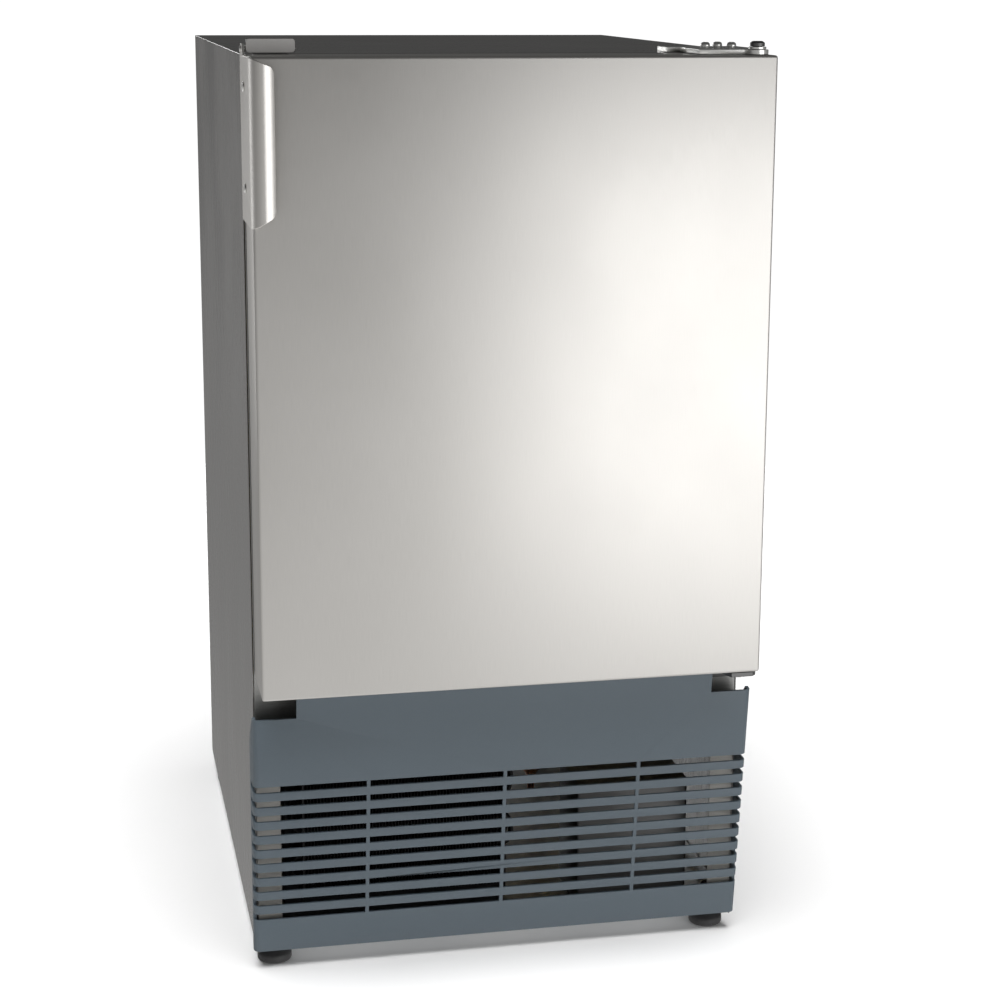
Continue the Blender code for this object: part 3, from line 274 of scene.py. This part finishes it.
def soften(part, radius, finish, segments=3, angle=32.0):
    """A finished copy of one part, edges rounded, that stands for it and moves with it."""
    bm = bmesh.new()
    bm.from_mesh(frame["nodes"][part].data)
    bmesh.ops.remove_doubles(bm, verts=bm.verts, dist=2e-6)
    if part not in KEEP_TRIANGLES:
        bmesh.ops.dissolve_limit(bm, angle_limit=radians(0.6), verts=bm.verts, edges=bm.edges)
    for face in bm.faces:
        face.smooth = True
    mesh = bpy.data.meshes.new(part + "_finished")
    bm.to_mesh(mesh)
    bm.free()
    return place_piece(part + "_finished", mesh, part, finish, radius, segments, angle)


def place_piece(name, mesh, part, finish, radius=0.0, segments=3, angle=32.0, stands_for=True):
    """Puts a mesh in the scene with a finish, on the same body as a part."""
    obj = bpy.data.objects.new(name, mesh)
    bpy.context.scene.collection.objects.link(obj)
    mesh.materials.clear()
    mesh.materials.append(finish)
    mesh.set_sharp_from_angle(angle=radians(angle))
    if radius:
        bevel = obj.modifiers.new("edge radius", "BEVEL")
        bevel.width, bevel.segments, bevel.limit_method = radius, segments, "ANGLE"
        bevel.angle_limit, bevel.harden_normals = radians(angle), True
        bevel.miter_outer = "MITER_ARC"
        bevel.use_clamp_overlap = True
    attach(obj, BODY_OF[part])
    if stands_for:
        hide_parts(part)
    return obj


def soften_all(rows):
    for part, radius, finish in rows:
        obj = soften(part, radius, finish)
        print(f"{part}: edge radius {radius * 1000:.2f} mm, {len(obj.data.polygons)} faces, {finish.name}")


# %% [markdown]
# ## The outside
# The sheet of the cabinet is bent with a radius about its own thickness. The door pan is folded a
# little tighter, the grille is a thick moulding whose slots have softened lips, and the hinge plate is
# punched, so its rim is only just broken.

# %% Outside parts
soften_all([
    ("cabinet_wrap", 0.0006, CASE_STEEL),
    ("door_skin", 0.0004, DOOR_STEEL),
    ("front_grille", 0.0006, GRILLE),
    ("front_frame", 0.0003, FRAME_STEEL),
    ("back_panel", 0.0004, ZINC),
    ("base_pan", 0.0004, ZINC),
    ("bay_flange_left", 0.0003, FLANGE_GREY),
    ("bay_flange_right", 0.0003, FLANGE_GREY),
    ("top_hinge_plate", 0.0005, BRIGHT_STEEL),
    ("top_hinge_washer", 0.0002, BRIGHT_STEEL),
    ("top_hinge_pin", 0.0004, DARK_STEEL),
    ("bottom_hinge_bracket", 0.0005, DARK_STEEL),
    ("bottom_hinge_pin", 0.0003, BRIGHT_STEEL),
    ("latch_pin", 0.0002, BRIGHT_STEEL),
])

# %% Parts inside and behind
soften_all([
    ("inner_liner", 0.0022, WHITE),
    ("door_liner", 0.0008, WHITE),
    ("ice_mould", 0.0008, ALUMINIUM),
    ("ice_maker_housing", 0.0018, HOUSING_WHITE),
    ("fill_cup", 0.0006, HOUSING_WHITE),
    ("fill_tube", 0.0003, HOUSING_WHITE),
    ("fan_shroud", 0.0008, BLACK),
    ("fan_motor", 0.0012, DARK_STEEL),
    ("compressor_plate", 0.0008, PAINT),
    ("control_box", 0.0008, DARK_STEEL),
    ("water_valve", 0.0008, VALVE),
    ("drain_stub", 0.0004, BRASS),
    ("power_inlet", 0.0006, BLACK),
    ("filter_drier", 0.0006, COPPER),
    ("hinge_bush_lower", 0.0003, HOUSING_WHITE),
    ("hinge_bush_upper", 0.0003, HOUSING_WHITE),
    ("fan", 0.0003, BLACK),
    ("power_rocker", 0.0006, BLACK),
    ("ice_bin", 0.0011, BIN),
    ("ejector", 0.0006, BLACK),
    ("door_gasket", 0.0015, RUBBER),
])

# %% [markdown]
# ## The pull
# The pull is a strip of 1.4 mm stainless. It lies flat on the door's left edge, held by two screws,
# then rolls over in front of the door and past its crown, so that fingers hook behind the free edge.
# Its ends are trimmed on a slope. A row of points is drawn along that section, each point is
# extruded upwards to its own height, which gives the slopes and the ear for the latch in one go, and
# the sheet is then thickened.

# %% Pull
pull_low, pull_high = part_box("door_handle")
tab_low, tab_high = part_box("latch_lever")
door_low, door_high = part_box("door_skin")
SHEET = 0.0014


def pull_section(steps=12):
    """Points (x, y, share of the roll) from the rear of the flange to the free edge, on the outer face."""
    crown = pull_low.x + 0.52 * (pull_high.x - pull_low.x)
    across, reach = crown - pull_low.x, door_low.y - pull_low.y
    curl = radians(42)
    curl_radius = (pull_high.x - crown) / sin(curl)
    ear = [tab_low.y + step for step in (0.0100, 0.0068, -0.0040, -0.0072)]
    flange = [(pull_low.x, y, 0.0) for y in (pull_high.y, *ear, door_low.y + 0.012, door_low.y)]
    roll = []
    for i in range(1, steps + 1):
        turn = pi / 2 * i / steps
        roll.append((crown - across * cos(turn), door_low.y - reach * sin(turn), 0.5 * i / steps))
    for i in range(1, steps + 1):
        turn = curl * i / steps
        roll.append((crown + curl_radius * sin(turn), pull_low.y + curl_radius * (1 - cos(turn)),
                     0.5 + 0.5 * i / steps))
    return flange + roll


def pull_ends(x, y, share):
    """Heights of the lower and upper edge of the sheet at one point of its section."""
    ear = tab_low.y - 0.0045 < y < tab_low.y + 0.0073 and share == 0.0
    across = max(0.0, (x - pull_low.x) / (pull_high.x - pull_low.x))
    corner = 0.0035 * max(0.0, (share - 0.80) / 0.20) ** 2
    top = pull_high.z if ear else door_high.z - 0.0003 - 0.0062 * across - corner
    return pull_low.z + 0.0086 * across + corner, top


bm = bmesh.new()
section = pull_section()
column = [bm.verts.new((x, y, pull_ends(x, y, share)[0])) for x, y, share in section]
for a, b in zip(column, column[1:]):
    bm.edges.new((a, b))
grown = bmesh.ops.extrude_edge_only(bm, edges=bm.edges[:])
for vert in [v for v in grown["geom"] if isinstance(v, bmesh.types.BMVert)]:
    x, y, share = min(section, key=lambda p: (p[0] - vert.co.x) ** 2 + (p[1] - vert.co.y) ** 2)
    vert.co.z = pull_ends(x, y, share)[1]
bmesh.ops.recalc_face_normals(bm, faces=bm.faces)
outward = sum(f.normal.x for f in bm.faces if f.calc_center_median().x < pull_low.x + 1e-5)
if outward > 0:
    bmesh.ops.reverse_faces(bm, faces=bm.faces)
bmesh.ops.solidify(bm, geom=bm.faces[:], thickness=SHEET)
for face in bm.faces:
    face.smooth = True
pull_mesh = bpy.data.meshes.new("pull")
bm.to_mesh(pull_mesh)
bm.free()
# The pull's lighter steel is a painted reflection.
pull = place_piece("pull", pull_mesh, "door_handle", PULL_STEEL_PAINTED_REFLECTION, 0.0003, 2, 40)
print("pull:", [round(v, 4) for v in pull.bound_box[0]], [round(v, 4) for v in pull.bound_box[6]])

# %% [markdown]
# ## The latch tab
# The thumb latch is a small plate with rounded corners standing up behind the pull. Its lower edge is
# rolled round the pin, behind the plate, and a toe runs back over the top of the cabinet. The plate
# starts as one cube whose upright corner edges are bevelled, and the roll is a spun ring of points.

# %% Latch tab
def plate(low, high, corner, axis, segments=5):
    """A flat plate, its corners along one axis rounded."""
    made = bmesh.new()
    bmesh.ops.create_cube(made, size=1.0)
    size = Vector(high) - Vector(low)
    bmesh.ops.scale(made, verts=made.verts, vec=size)
    bmesh.ops.translate(made, verts=made.verts, vec=(Vector(low) + Vector(high)) / 2)
    if corner:
        number = "XYZ".index(axis)
        along = [e for e in made.edges if abs((e.verts[0].co - e.verts[1].co).normalized()[number]) > 0.9]
        bmesh.ops.bevel(made, geom=along, offset=corner, offset_type="OFFSET", segments=segments, profile=0.5,
                        affect="EDGES", material=-1)
    return made


def tube_ring(centre, outer, inner, length, axis="X", segments=28):
    """A short tube made by spinning its section once round."""
    made = bmesh.new()
    corners = ((0, outer, 0), (length, outer, 0), (length, inner, 0), (0, inner, 0))
    ring = [made.verts.new(co) for co in corners]
    edges = [made.edges.new((a, b)) for a, b in zip(ring, ring[1:] + ring[:1])]
    bmesh.ops.spin(made, geom=ring + edges, cent=(0, 0, 0), axis=(1, 0, 0), angle=2 * pi, steps=segments,
                   use_merge=True)
    if axis != "X":
        turn = Matrix.Rotation(pi / 2, 3, "Z") if axis == "Y" else Matrix.Rotation(-pi / 2, 3, "Y")
        bmesh.ops.rotate(made, verts=made.verts, cent=(0, 0, 0), matrix=turn)
    bmesh.ops.remove_doubles(made, verts=made.verts, dist=1e-6)
    bmesh.ops.recalc_face_normals(made, faces=made.faces)
    bmesh.ops.translate(made, verts=made.verts, vec=centre)
    return made


def gather(name, shapes):
    """One mesh from several bmeshes."""
    whole = bmesh.new()
    for shape in shapes:
        part = bpy.data.meshes.new("part")
        shape.to_mesh(part)
        shape.free()
        whole.from_mesh(part)
        bpy.data.meshes.remove(part)
    for face in whole.faces:
        face.smooth = True
    mesh = bpy.data.meshes.new(name)
    whole.to_mesh(mesh)
    whole.free()
    return mesh


pin_low, pin_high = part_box("latch_pin")
pin = Vector((0.0, (pin_low.y + pin_high.y) / 2, (pin_low.z + pin_high.z) / 2))
tab_left = pull_low.x + SHEET + 0.0016
tab_front, tab_back, tab_foot = pin.y - 0.0028, pin.y - 0.0014, door_high.z + 0.0010
front_face = plate((tab_left, tab_front, tab_foot), (tab_high.x, tab_back, tab_high.z), 0.0022, "Y")
toe = plate((tab_left + 0.0060, tab_back, tab_foot), (tab_high.x - 0.0030, tab_high.y, door_high.z + 0.0024),
            0.0020, "Z")
roll = tube_ring((tab_low.x + 0.0045, pin.y, pin.z), 0.0026, 0.0017, tab_high.x - tab_low.x - 0.0046)
tab_mesh = gather("latch_tab", [front_face, toe, roll])
# The tab's darker steel is painted shade.
tab = place_piece("latch_tab", tab_mesh, "latch_lever", TAB_STEEL_PAINTED_SHADE, 0.00025, 3, 40)
print("latch tab:", [round(v, 4) for v in tab.bound_box[0]], [round(v, 4) for v in tab.bound_box[6]])

# %% [markdown]
# ## Screws
# The screws are pan heads with a cross recess. The head and shank are one outline spun round an axis,
# and the recess is two crossed plates taken away with an exact Boolean, whose result is kept as a
# plain mesh. Each screw then turns to face the way its hole does.

# %% Screws
FACING = {"up": Matrix.Identity(3), "front": Matrix.Rotation(pi / 2, 3, "X"),
          "left": Matrix.Rotation(-pi / 2, 3, "Y"), "back": Matrix.Rotation(-pi / 2, 3, "X")}


def spun(outline, segments=32):
    """A closed solid from (radius, height) points, first and last on the axis."""
    made = bmesh.new()
    verts = [made.verts.new((radius, 0.0, height)) for radius, height in outline]
    edges = [made.edges.new((a, b)) for a, b in zip(verts, verts[1:])]
    bmesh.ops.spin(made, geom=verts + edges, cent=(0, 0, 0), axis=(0, 0, 1), angle=2 * pi, steps=segments,
                   use_merge=True)
    bmesh.ops.remove_doubles(made, verts=made.verts, dist=1e-6)
    bmesh.ops.recalc_face_normals(made, faces=made.faces)
    return made


def carved(body, *cutters):
    """The first bmesh less the others, as a mesh."""
    solids = []
    for shape in (body, *cutters):
        mesh = bpy.data.meshes.new("carving")
        shape.to_mesh(mesh)
        shape.free()
        solids.append(bpy.data.objects.new("carving", mesh))
        bpy.context.scene.collection.objects.link(solids[-1])
    for cutter in solids[1:]:
        cut = solids[0].modifiers.new("recess", "BOOLEAN")
        cut.operation, cut.solver, cut.object = "DIFFERENCE", "EXACT", cutter
    graph = bpy.context.evaluated_depsgraph_get()
    mesh = bpy.data.meshes.new_from_object(solids[0].evaluated_get(graph))
    for obj in solids:
        bpy.data.objects.remove(obj)
    for face in mesh.polygons:
        face.use_smooth = True
    return mesh


def screw_mesh(place, facing, radius, head, shank, length):
    """A pan-head screw whose crown is at place."""
    crown = [(0.0, 0.0), (radius * 0.45, -head * 0.03), (radius * 0.80, -head * 0.18),
             (radius * 0.96, -head * 0.45), (radius, -head * 0.70), (radius, -head * 0.95),
             (radius * 0.97, -head)]
    stem = [(shank, -head), (shank, -length + shank * 0.4), (shank * 0.6, -length), (0.0, -length)]
    body = spun(crown + stem)
    arm, half = radius * 0.56, radius * 0.13
    cross = ((arm, half), (half, arm * 1.01))
    blades = [plate((-x, -y, -head * 0.60), (x, y, head), 0.0, "Z") for x, y in cross]
    mesh = carved(body, *blades)
    mesh.transform(Matrix.Translation(place) @ FACING[facing].to_4x4())
    return mesh


def screw_for(part, facing, radius, head, shank):
    low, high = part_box(part)
    crown = (low + high) / 2
    axis, end = {"up": (2, high), "front": (1, low), "left": (0, low)}[facing]
    crown[axis] = end[axis]
    mesh = screw_mesh(crown, facing, radius, head, shank, high[axis] - low[axis])
    return place_piece(part + "_finished", mesh, part, BRIGHT_STEEL)


for part in ("top_hinge_screw_1", "top_hinge_screw_2", "top_hinge_screw_3"):
    screw_for(part, "up", 0.0033, 0.0031, 0.0018)
for part in ("bottom_hinge_screw_left", "bottom_hinge_screw_right"):
    screw_for(part, "front", 0.0031, 0.0024, 0.0017)
for part in ("handle_screw_upper", "handle_screw_lower"):
    screw_for(part, "left", 0.0034, 0.0011, 0.0016)

# %% [markdown]
# ## Screws that hold the back
# The back panel is held by a row of the same screws round its rim. They are new pieces, so they need
# only ride with the cabinet. One mesh holds them all, because they never move apart.

# %% Back screws
panel_low, panel_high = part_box("back_panel")
rim = 0.0110
places = [(x, z) for z in (panel_low.z + rim, 0.24, 0.44, panel_high.z - rim)
          for x in (panel_low.x + rim, panel_high.x - rim)]
places += [(x, panel_high.z - rim) for x in (-0.06, 0.06)]
rows = bmesh.new()
for x, z in places:
    rows.from_mesh(screw_mesh((x, panel_high.y + 0.0022, z), "back", 0.0038, 0.0020, 0.0018, 0.0060))
back_screws = bpy.data.meshes.new("back_screws")
rows.to_mesh(back_screws)
rows.free()
place_piece("back_screws", back_screws, "back_panel", BRIGHT_STEEL, stands_for=False)
print("back screws:", len(places))

# %% [markdown]
# ## Levelling feet
# Each foot is a moulded pad with a rounded rim and a dished top, on a screw; the hexagon nut under the base
# is not drawn. The pad and the screw are one spun outline whose stem has the thread's ridges.

# %% Feet
def foot(part):
    low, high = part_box(part)
    centre = (low + high) / 2
    radius = (high.x - low.x) / 2
    pad = [(0.0, 0.0), (radius * 0.88, 0.0), (radius * 0.97, 0.0006), (radius, 0.0016), (radius, 0.0046),
           (radius * 0.985, 0.0056), (radius * 0.93, 0.0063), (radius * 0.78, 0.0069),
           (radius * 0.56, 0.0088), (0.0050, 0.0098), (0.0040, 0.0102)]
    thread, z = [], 0.0104
    while z < high.z - 0.0018:
        thread += [(0.0034, z), (0.0040, z + 0.0006)]
        z += 0.0012
    made = spun(pad + thread + [(0.0034, high.z - 0.0008), (0.0026, high.z), (0.0, high.z)], 36)
    bmesh.ops.translate(made, verts=made.verts, vec=(centre.x, centre.y, 0.0))
    for face in made.faces:
        face.smooth = True
    mesh = bpy.data.meshes.new(part + "_finished")
    made.to_mesh(mesh)
    made.free()
    return place_piece(part + "_finished", mesh, part, FOOT_BLACK, angle=38)


feet = [foot("foot_" + place) for place in ("front_left", "front_right", "rear_left", "rear_right")]
print("feet:", [f.name for f in feet], "each", len(feet[0].data.polygons), "faces")

# %% [markdown]
# ## Condenser
# It is a stack of thin fins on rows of tube, coloured near-black as painted shade, so the grille's slots read
# dark. A single fin is copied along the width, end plates hold the stack, and each tube row is joined to the
# next by a bend outside them.

# %% Condenser
core_low, core_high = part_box("condenser")
FIN, FIN_PITCH, TUBE = 0.00030, 0.0024, 0.0032
TUBE_RISE, TUBE_STAND = 0.0200, 0.0030    # from one run to the next, and past the fins at each end


def bend(centre, radius, wire, side, segments=10):
    """Half a ring of tube in an upright plane, opening to one side."""
    made = bmesh.new()
    ring = bmesh.ops.create_circle(made, cap_ends=False, segments=12, radius=wire)["verts"]
    bmesh.ops.rotate(made, verts=ring, cent=(0, 0, 0), matrix=Matrix.Rotation(pi / 2, 3, "Y"))
    bmesh.ops.translate(made, verts=ring, vec=(0, 0, radius))
    bmesh.ops.spin(made, geom=made.verts[:] + made.edges[:], cent=(0, 0, 0), axis=(0, 1, 0), angle=side * pi,
                   steps=segments)
    bmesh.ops.recalc_face_normals(made, faces=made.faces)
    bmesh.ops.translate(made, verts=made.verts, vec=centre)
    return made


edge = 0.0110
inner_low = Vector((core_low.x + edge, core_low.y + 0.002, core_low.z + 0.003))
inner_high = Vector((core_high.x - edge, core_high.y - 0.002, core_high.z - 0.003))
count = int((inner_high.x - inner_low.x) / FIN_PITCH)
fins = [plate((x, inner_low.y, inner_low.z), (x + FIN, inner_high.y, inner_high.z), 0.0, "X")
        for x in (inner_low.x + i * FIN_PITCH for i in range(count))]
ends = [plate((x, core_low.y, core_low.z), (x + 0.0012, core_high.y, core_high.z), 0.003, "X")
        for x in (inner_low.x - 0.0016, inner_high.x + 0.0004)]
rises = int((core_high.z - core_low.z - 0.02) / TUBE_RISE)
levels = [core_low.z + 0.0130 + TUBE_RISE * i for i in range(rises + 1)]
run_length = inner_high.x - inner_low.x + 2 * TUBE_STAND
tubes, bends = [], []
for y in (core_low.y + 0.0120, core_high.y - 0.0120):
    for i, z in enumerate(levels):
        tubes.append(tube_ring((inner_low.x - TUBE_STAND, y, z), TUBE, TUBE * 0.8, run_length, "X", 12))
        if i + 1 < len(levels):
            left = i % 2 == 0
            x = inner_low.x - TUBE_STAND if left else inner_high.x + TUBE_STAND
            made = bend((x, y, z + TUBE_RISE / 2), TUBE_RISE / 2, TUBE, -1 if left else 1)
            for vert in made.verts:
                vert.co.x = x + (vert.co.x - x) * 0.55
            bends.append(made)
# Fins and tubes get the near-black painted shade.
place_piece("condenser_fins", gather("condenser_fins", fins + ends), "condenser", FIN_METAL_PAINTED_SHADE)
place_piece("condenser_tubes", gather("condenser_tubes", tubes + bends), "condenser", FIN_METAL_PAINTED_SHADE,
            stands_for=False)
print("condenser:", count, "fins,", len(tubes), "tube runs,", len(bends), "bends")

# %% [markdown]
# ## Everything else keeps its own shape
# The parts left over are right as they are, such as tubes, springs, foam and rubber feet, so they only
# get their finish.

# %% Finish the remaining parts
FINISH_OF = {"stainless": DOOR_STEEL, "case_steel": ZINC, "bright_steel": BRIGHT_STEEL,
             "dark_steel": DARK_STEEL, "grille_plastic": GRILLE, "black_plastic": FOOT_BLACK,
             "white_plastic": WHITE, "bin_plastic": BIN, "foam": FOAM, "rubber": RUBBER,
             "aluminium": ALUMINIUM, "copper": COPPER, "brass": BRASS,
             "black_painted_steel": PAINT, "valve_plastic": VALVE}
for part, node in frame["nodes"].items():
    if not node.hide_render:
        node.data.materials[0] = FINISH_OF[SLOT_OF[part]]
print("kept as they are:", sorted(n for n, node in frame["nodes"].items() if not node.hide_render))

# %% [markdown]
# ## Studio floor
# A wide pale table under the object. It is a flat disc with a faint mottle, so it has a surface but no
# pattern that draws the eye.

# %% Floor
def studio_floor(radius=1.5):
    mat, tree, shader = new_finish("studio_paper", 0.0, Roughness=0.9)
    mottle = pattern(tree, 0.20, detail=3.0)
    paper = shades(tree, mottle, (0.865, 0.865, 0.865), (0.88, 0.88, 0.88))
    tree.links.new(paper, shader.inputs["Base Color"])
    relief(tree, [(pattern(tree, 0.002, detail=2.0), 0.05, 0.0002)], shader)
    bm = bmesh.new()
    bmesh.ops.create_circle(bm, cap_ends=True, segments=96, radius=radius)
    mesh = bpy.data.meshes.new("studio_floor")
    bm.to_mesh(mesh)
    bm.free()
    mesh.materials.append(mat)
    obj = bpy.data.objects.new("studio_floor", mesh)
    bpy.context.scene.collection.objects.link(obj)
    return obj


floor = studio_floor()
print("floor disc laid at height 0")

# %% [markdown]
# ## Light
# Steel shows what stands round it, so the lights are placed for their reflections. A very soft high
# light keeps the floor white, a large low panel to the front right gives the door its run from grey
# to white, a narrow strip behind to the left lights the cabinet's side, and a small panel above that
# draws the bright line along the folded top edge.

# %% Lights
def panel_light(name, place, target, width, height, power):
    lamp = bpy.data.lights.new(name, "AREA")
    lamp.shape, lamp.size, lamp.size_y, lamp.energy = "RECTANGLE", width, height, power
    obj = bpy.data.objects.new(name, lamp)
    bpy.context.scene.collection.objects.link(obj)
    aim = (Vector(target) - Vector(place)).to_track_quat("-Z", "Y")
    obj.matrix_world = Matrix.Translation(place) @ aim.to_matrix().to_4x4()
    obj.visible_camera = False
    return obj


def high_light(strength, elevation, azimuth, softness):
    lamp = bpy.data.lights.new("high_light", "SUN")
    lamp.energy, lamp.angle = strength, radians(softness)
    obj = bpy.data.objects.new("high_light", lamp)
    bpy.context.scene.collection.objects.link(obj)
    obj.rotation_euler = (radians(90 - elevation), 0.0, radians(azimuth))
    return obj


high_light(4.3, 77, -14, 44).visible_glossy = False
panel_light("door_panel", (1.20, -2.0, 0.18), (0.0, -0.23, 0.32), 1.75, 1.9, 17)
panel_light("rim_panel", (-1.45, 2.00, 0.50), (-0.18, -0.2, 0.4), 0.40, 1.2, 2.8)
panel_light("edge_panel", (-0.62, 2.25, 1.02), (-0.16, -0.1, 0.65), 0.36, 0.36, 3.0)
floor.visible_glossy = floor.visible_shadow = False

world = bpy.data.worlds.new("studio_air")
bpy.context.scene.world = world
world.use_nodes = True
air = world.node_tree
seen, around = air.nodes.new("ShaderNodeBackground"), air.nodes["Background"]
seen.inputs["Color"].default_value = (1.0, 1.0, 1.0, 1.0)
seen.inputs["Strength"].default_value = 1.05
around.inputs["Color"].default_value = (1.0, 0.995, 0.985, 1.0)
direction = air.nodes.new("ShaderNodeTexCoord")
lean = air.nodes.new("ShaderNodeVectorMath")
lean.operation = "DOT_PRODUCT"
lean.inputs[1].default_value = (0.0, -0.14, -0.60)
air.links.new(direction.outputs["Generated"], lean.inputs[0])
air.links.new(between(air, lean.outputs["Value"], 0.09, 0.93, -0.17, 0.67), around.inputs["Strength"])
path, pick = air.nodes.new("ShaderNodeLightPath"), air.nodes.new("ShaderNodeMixShader")
air.links.new(path.outputs["Is Camera Ray"], pick.inputs["Fac"])
air.links.new(around.outputs["Background"], pick.inputs[1])
air.links.new(seen.outputs["Background"], pick.inputs[2])
air.links.new(pick.outputs["Shader"], air.nodes["World Output"].inputs["Surface"])
bpy.context.scene.view_settings.view_transform = "Standard"

# %% [markdown]
# ## Camera
# The camera stands a little left of the middle, just above the cabinet's top, and looks slightly down
# and to the right with a long lens.

# %% Camera
view = bpy.data.cameras.new("studio_camera")
view.lens, view.sensor_width, view.shift_y = 78.2, 36.0, -0.06
camera = bpy.data.objects.new("studio_camera", view)
bpy.context.scene.collection.objects.link(camera)
STAND, TURN, DOWN, ROLL = (-0.305, -1.6367, 0.705), 11.77, 12.14, 0.28
camera.matrix_world = (Matrix.Translation(STAND) @ Matrix.Rotation(radians(-TURN), 4, "Z")
                       @ Matrix.Rotation(radians(90 - DOWN), 4, "X") @ Matrix.Rotation(radians(ROLL), 4, "Z"))
bpy.context.scene.camera = camera
print("camera at", tuple(round(v, 3) for v in camera.location))

# %% [markdown]
# ## Bring the scene up to date
# The view layer is updated once more at the end.

# %% Update and end
bpy.context.view_layer.update()
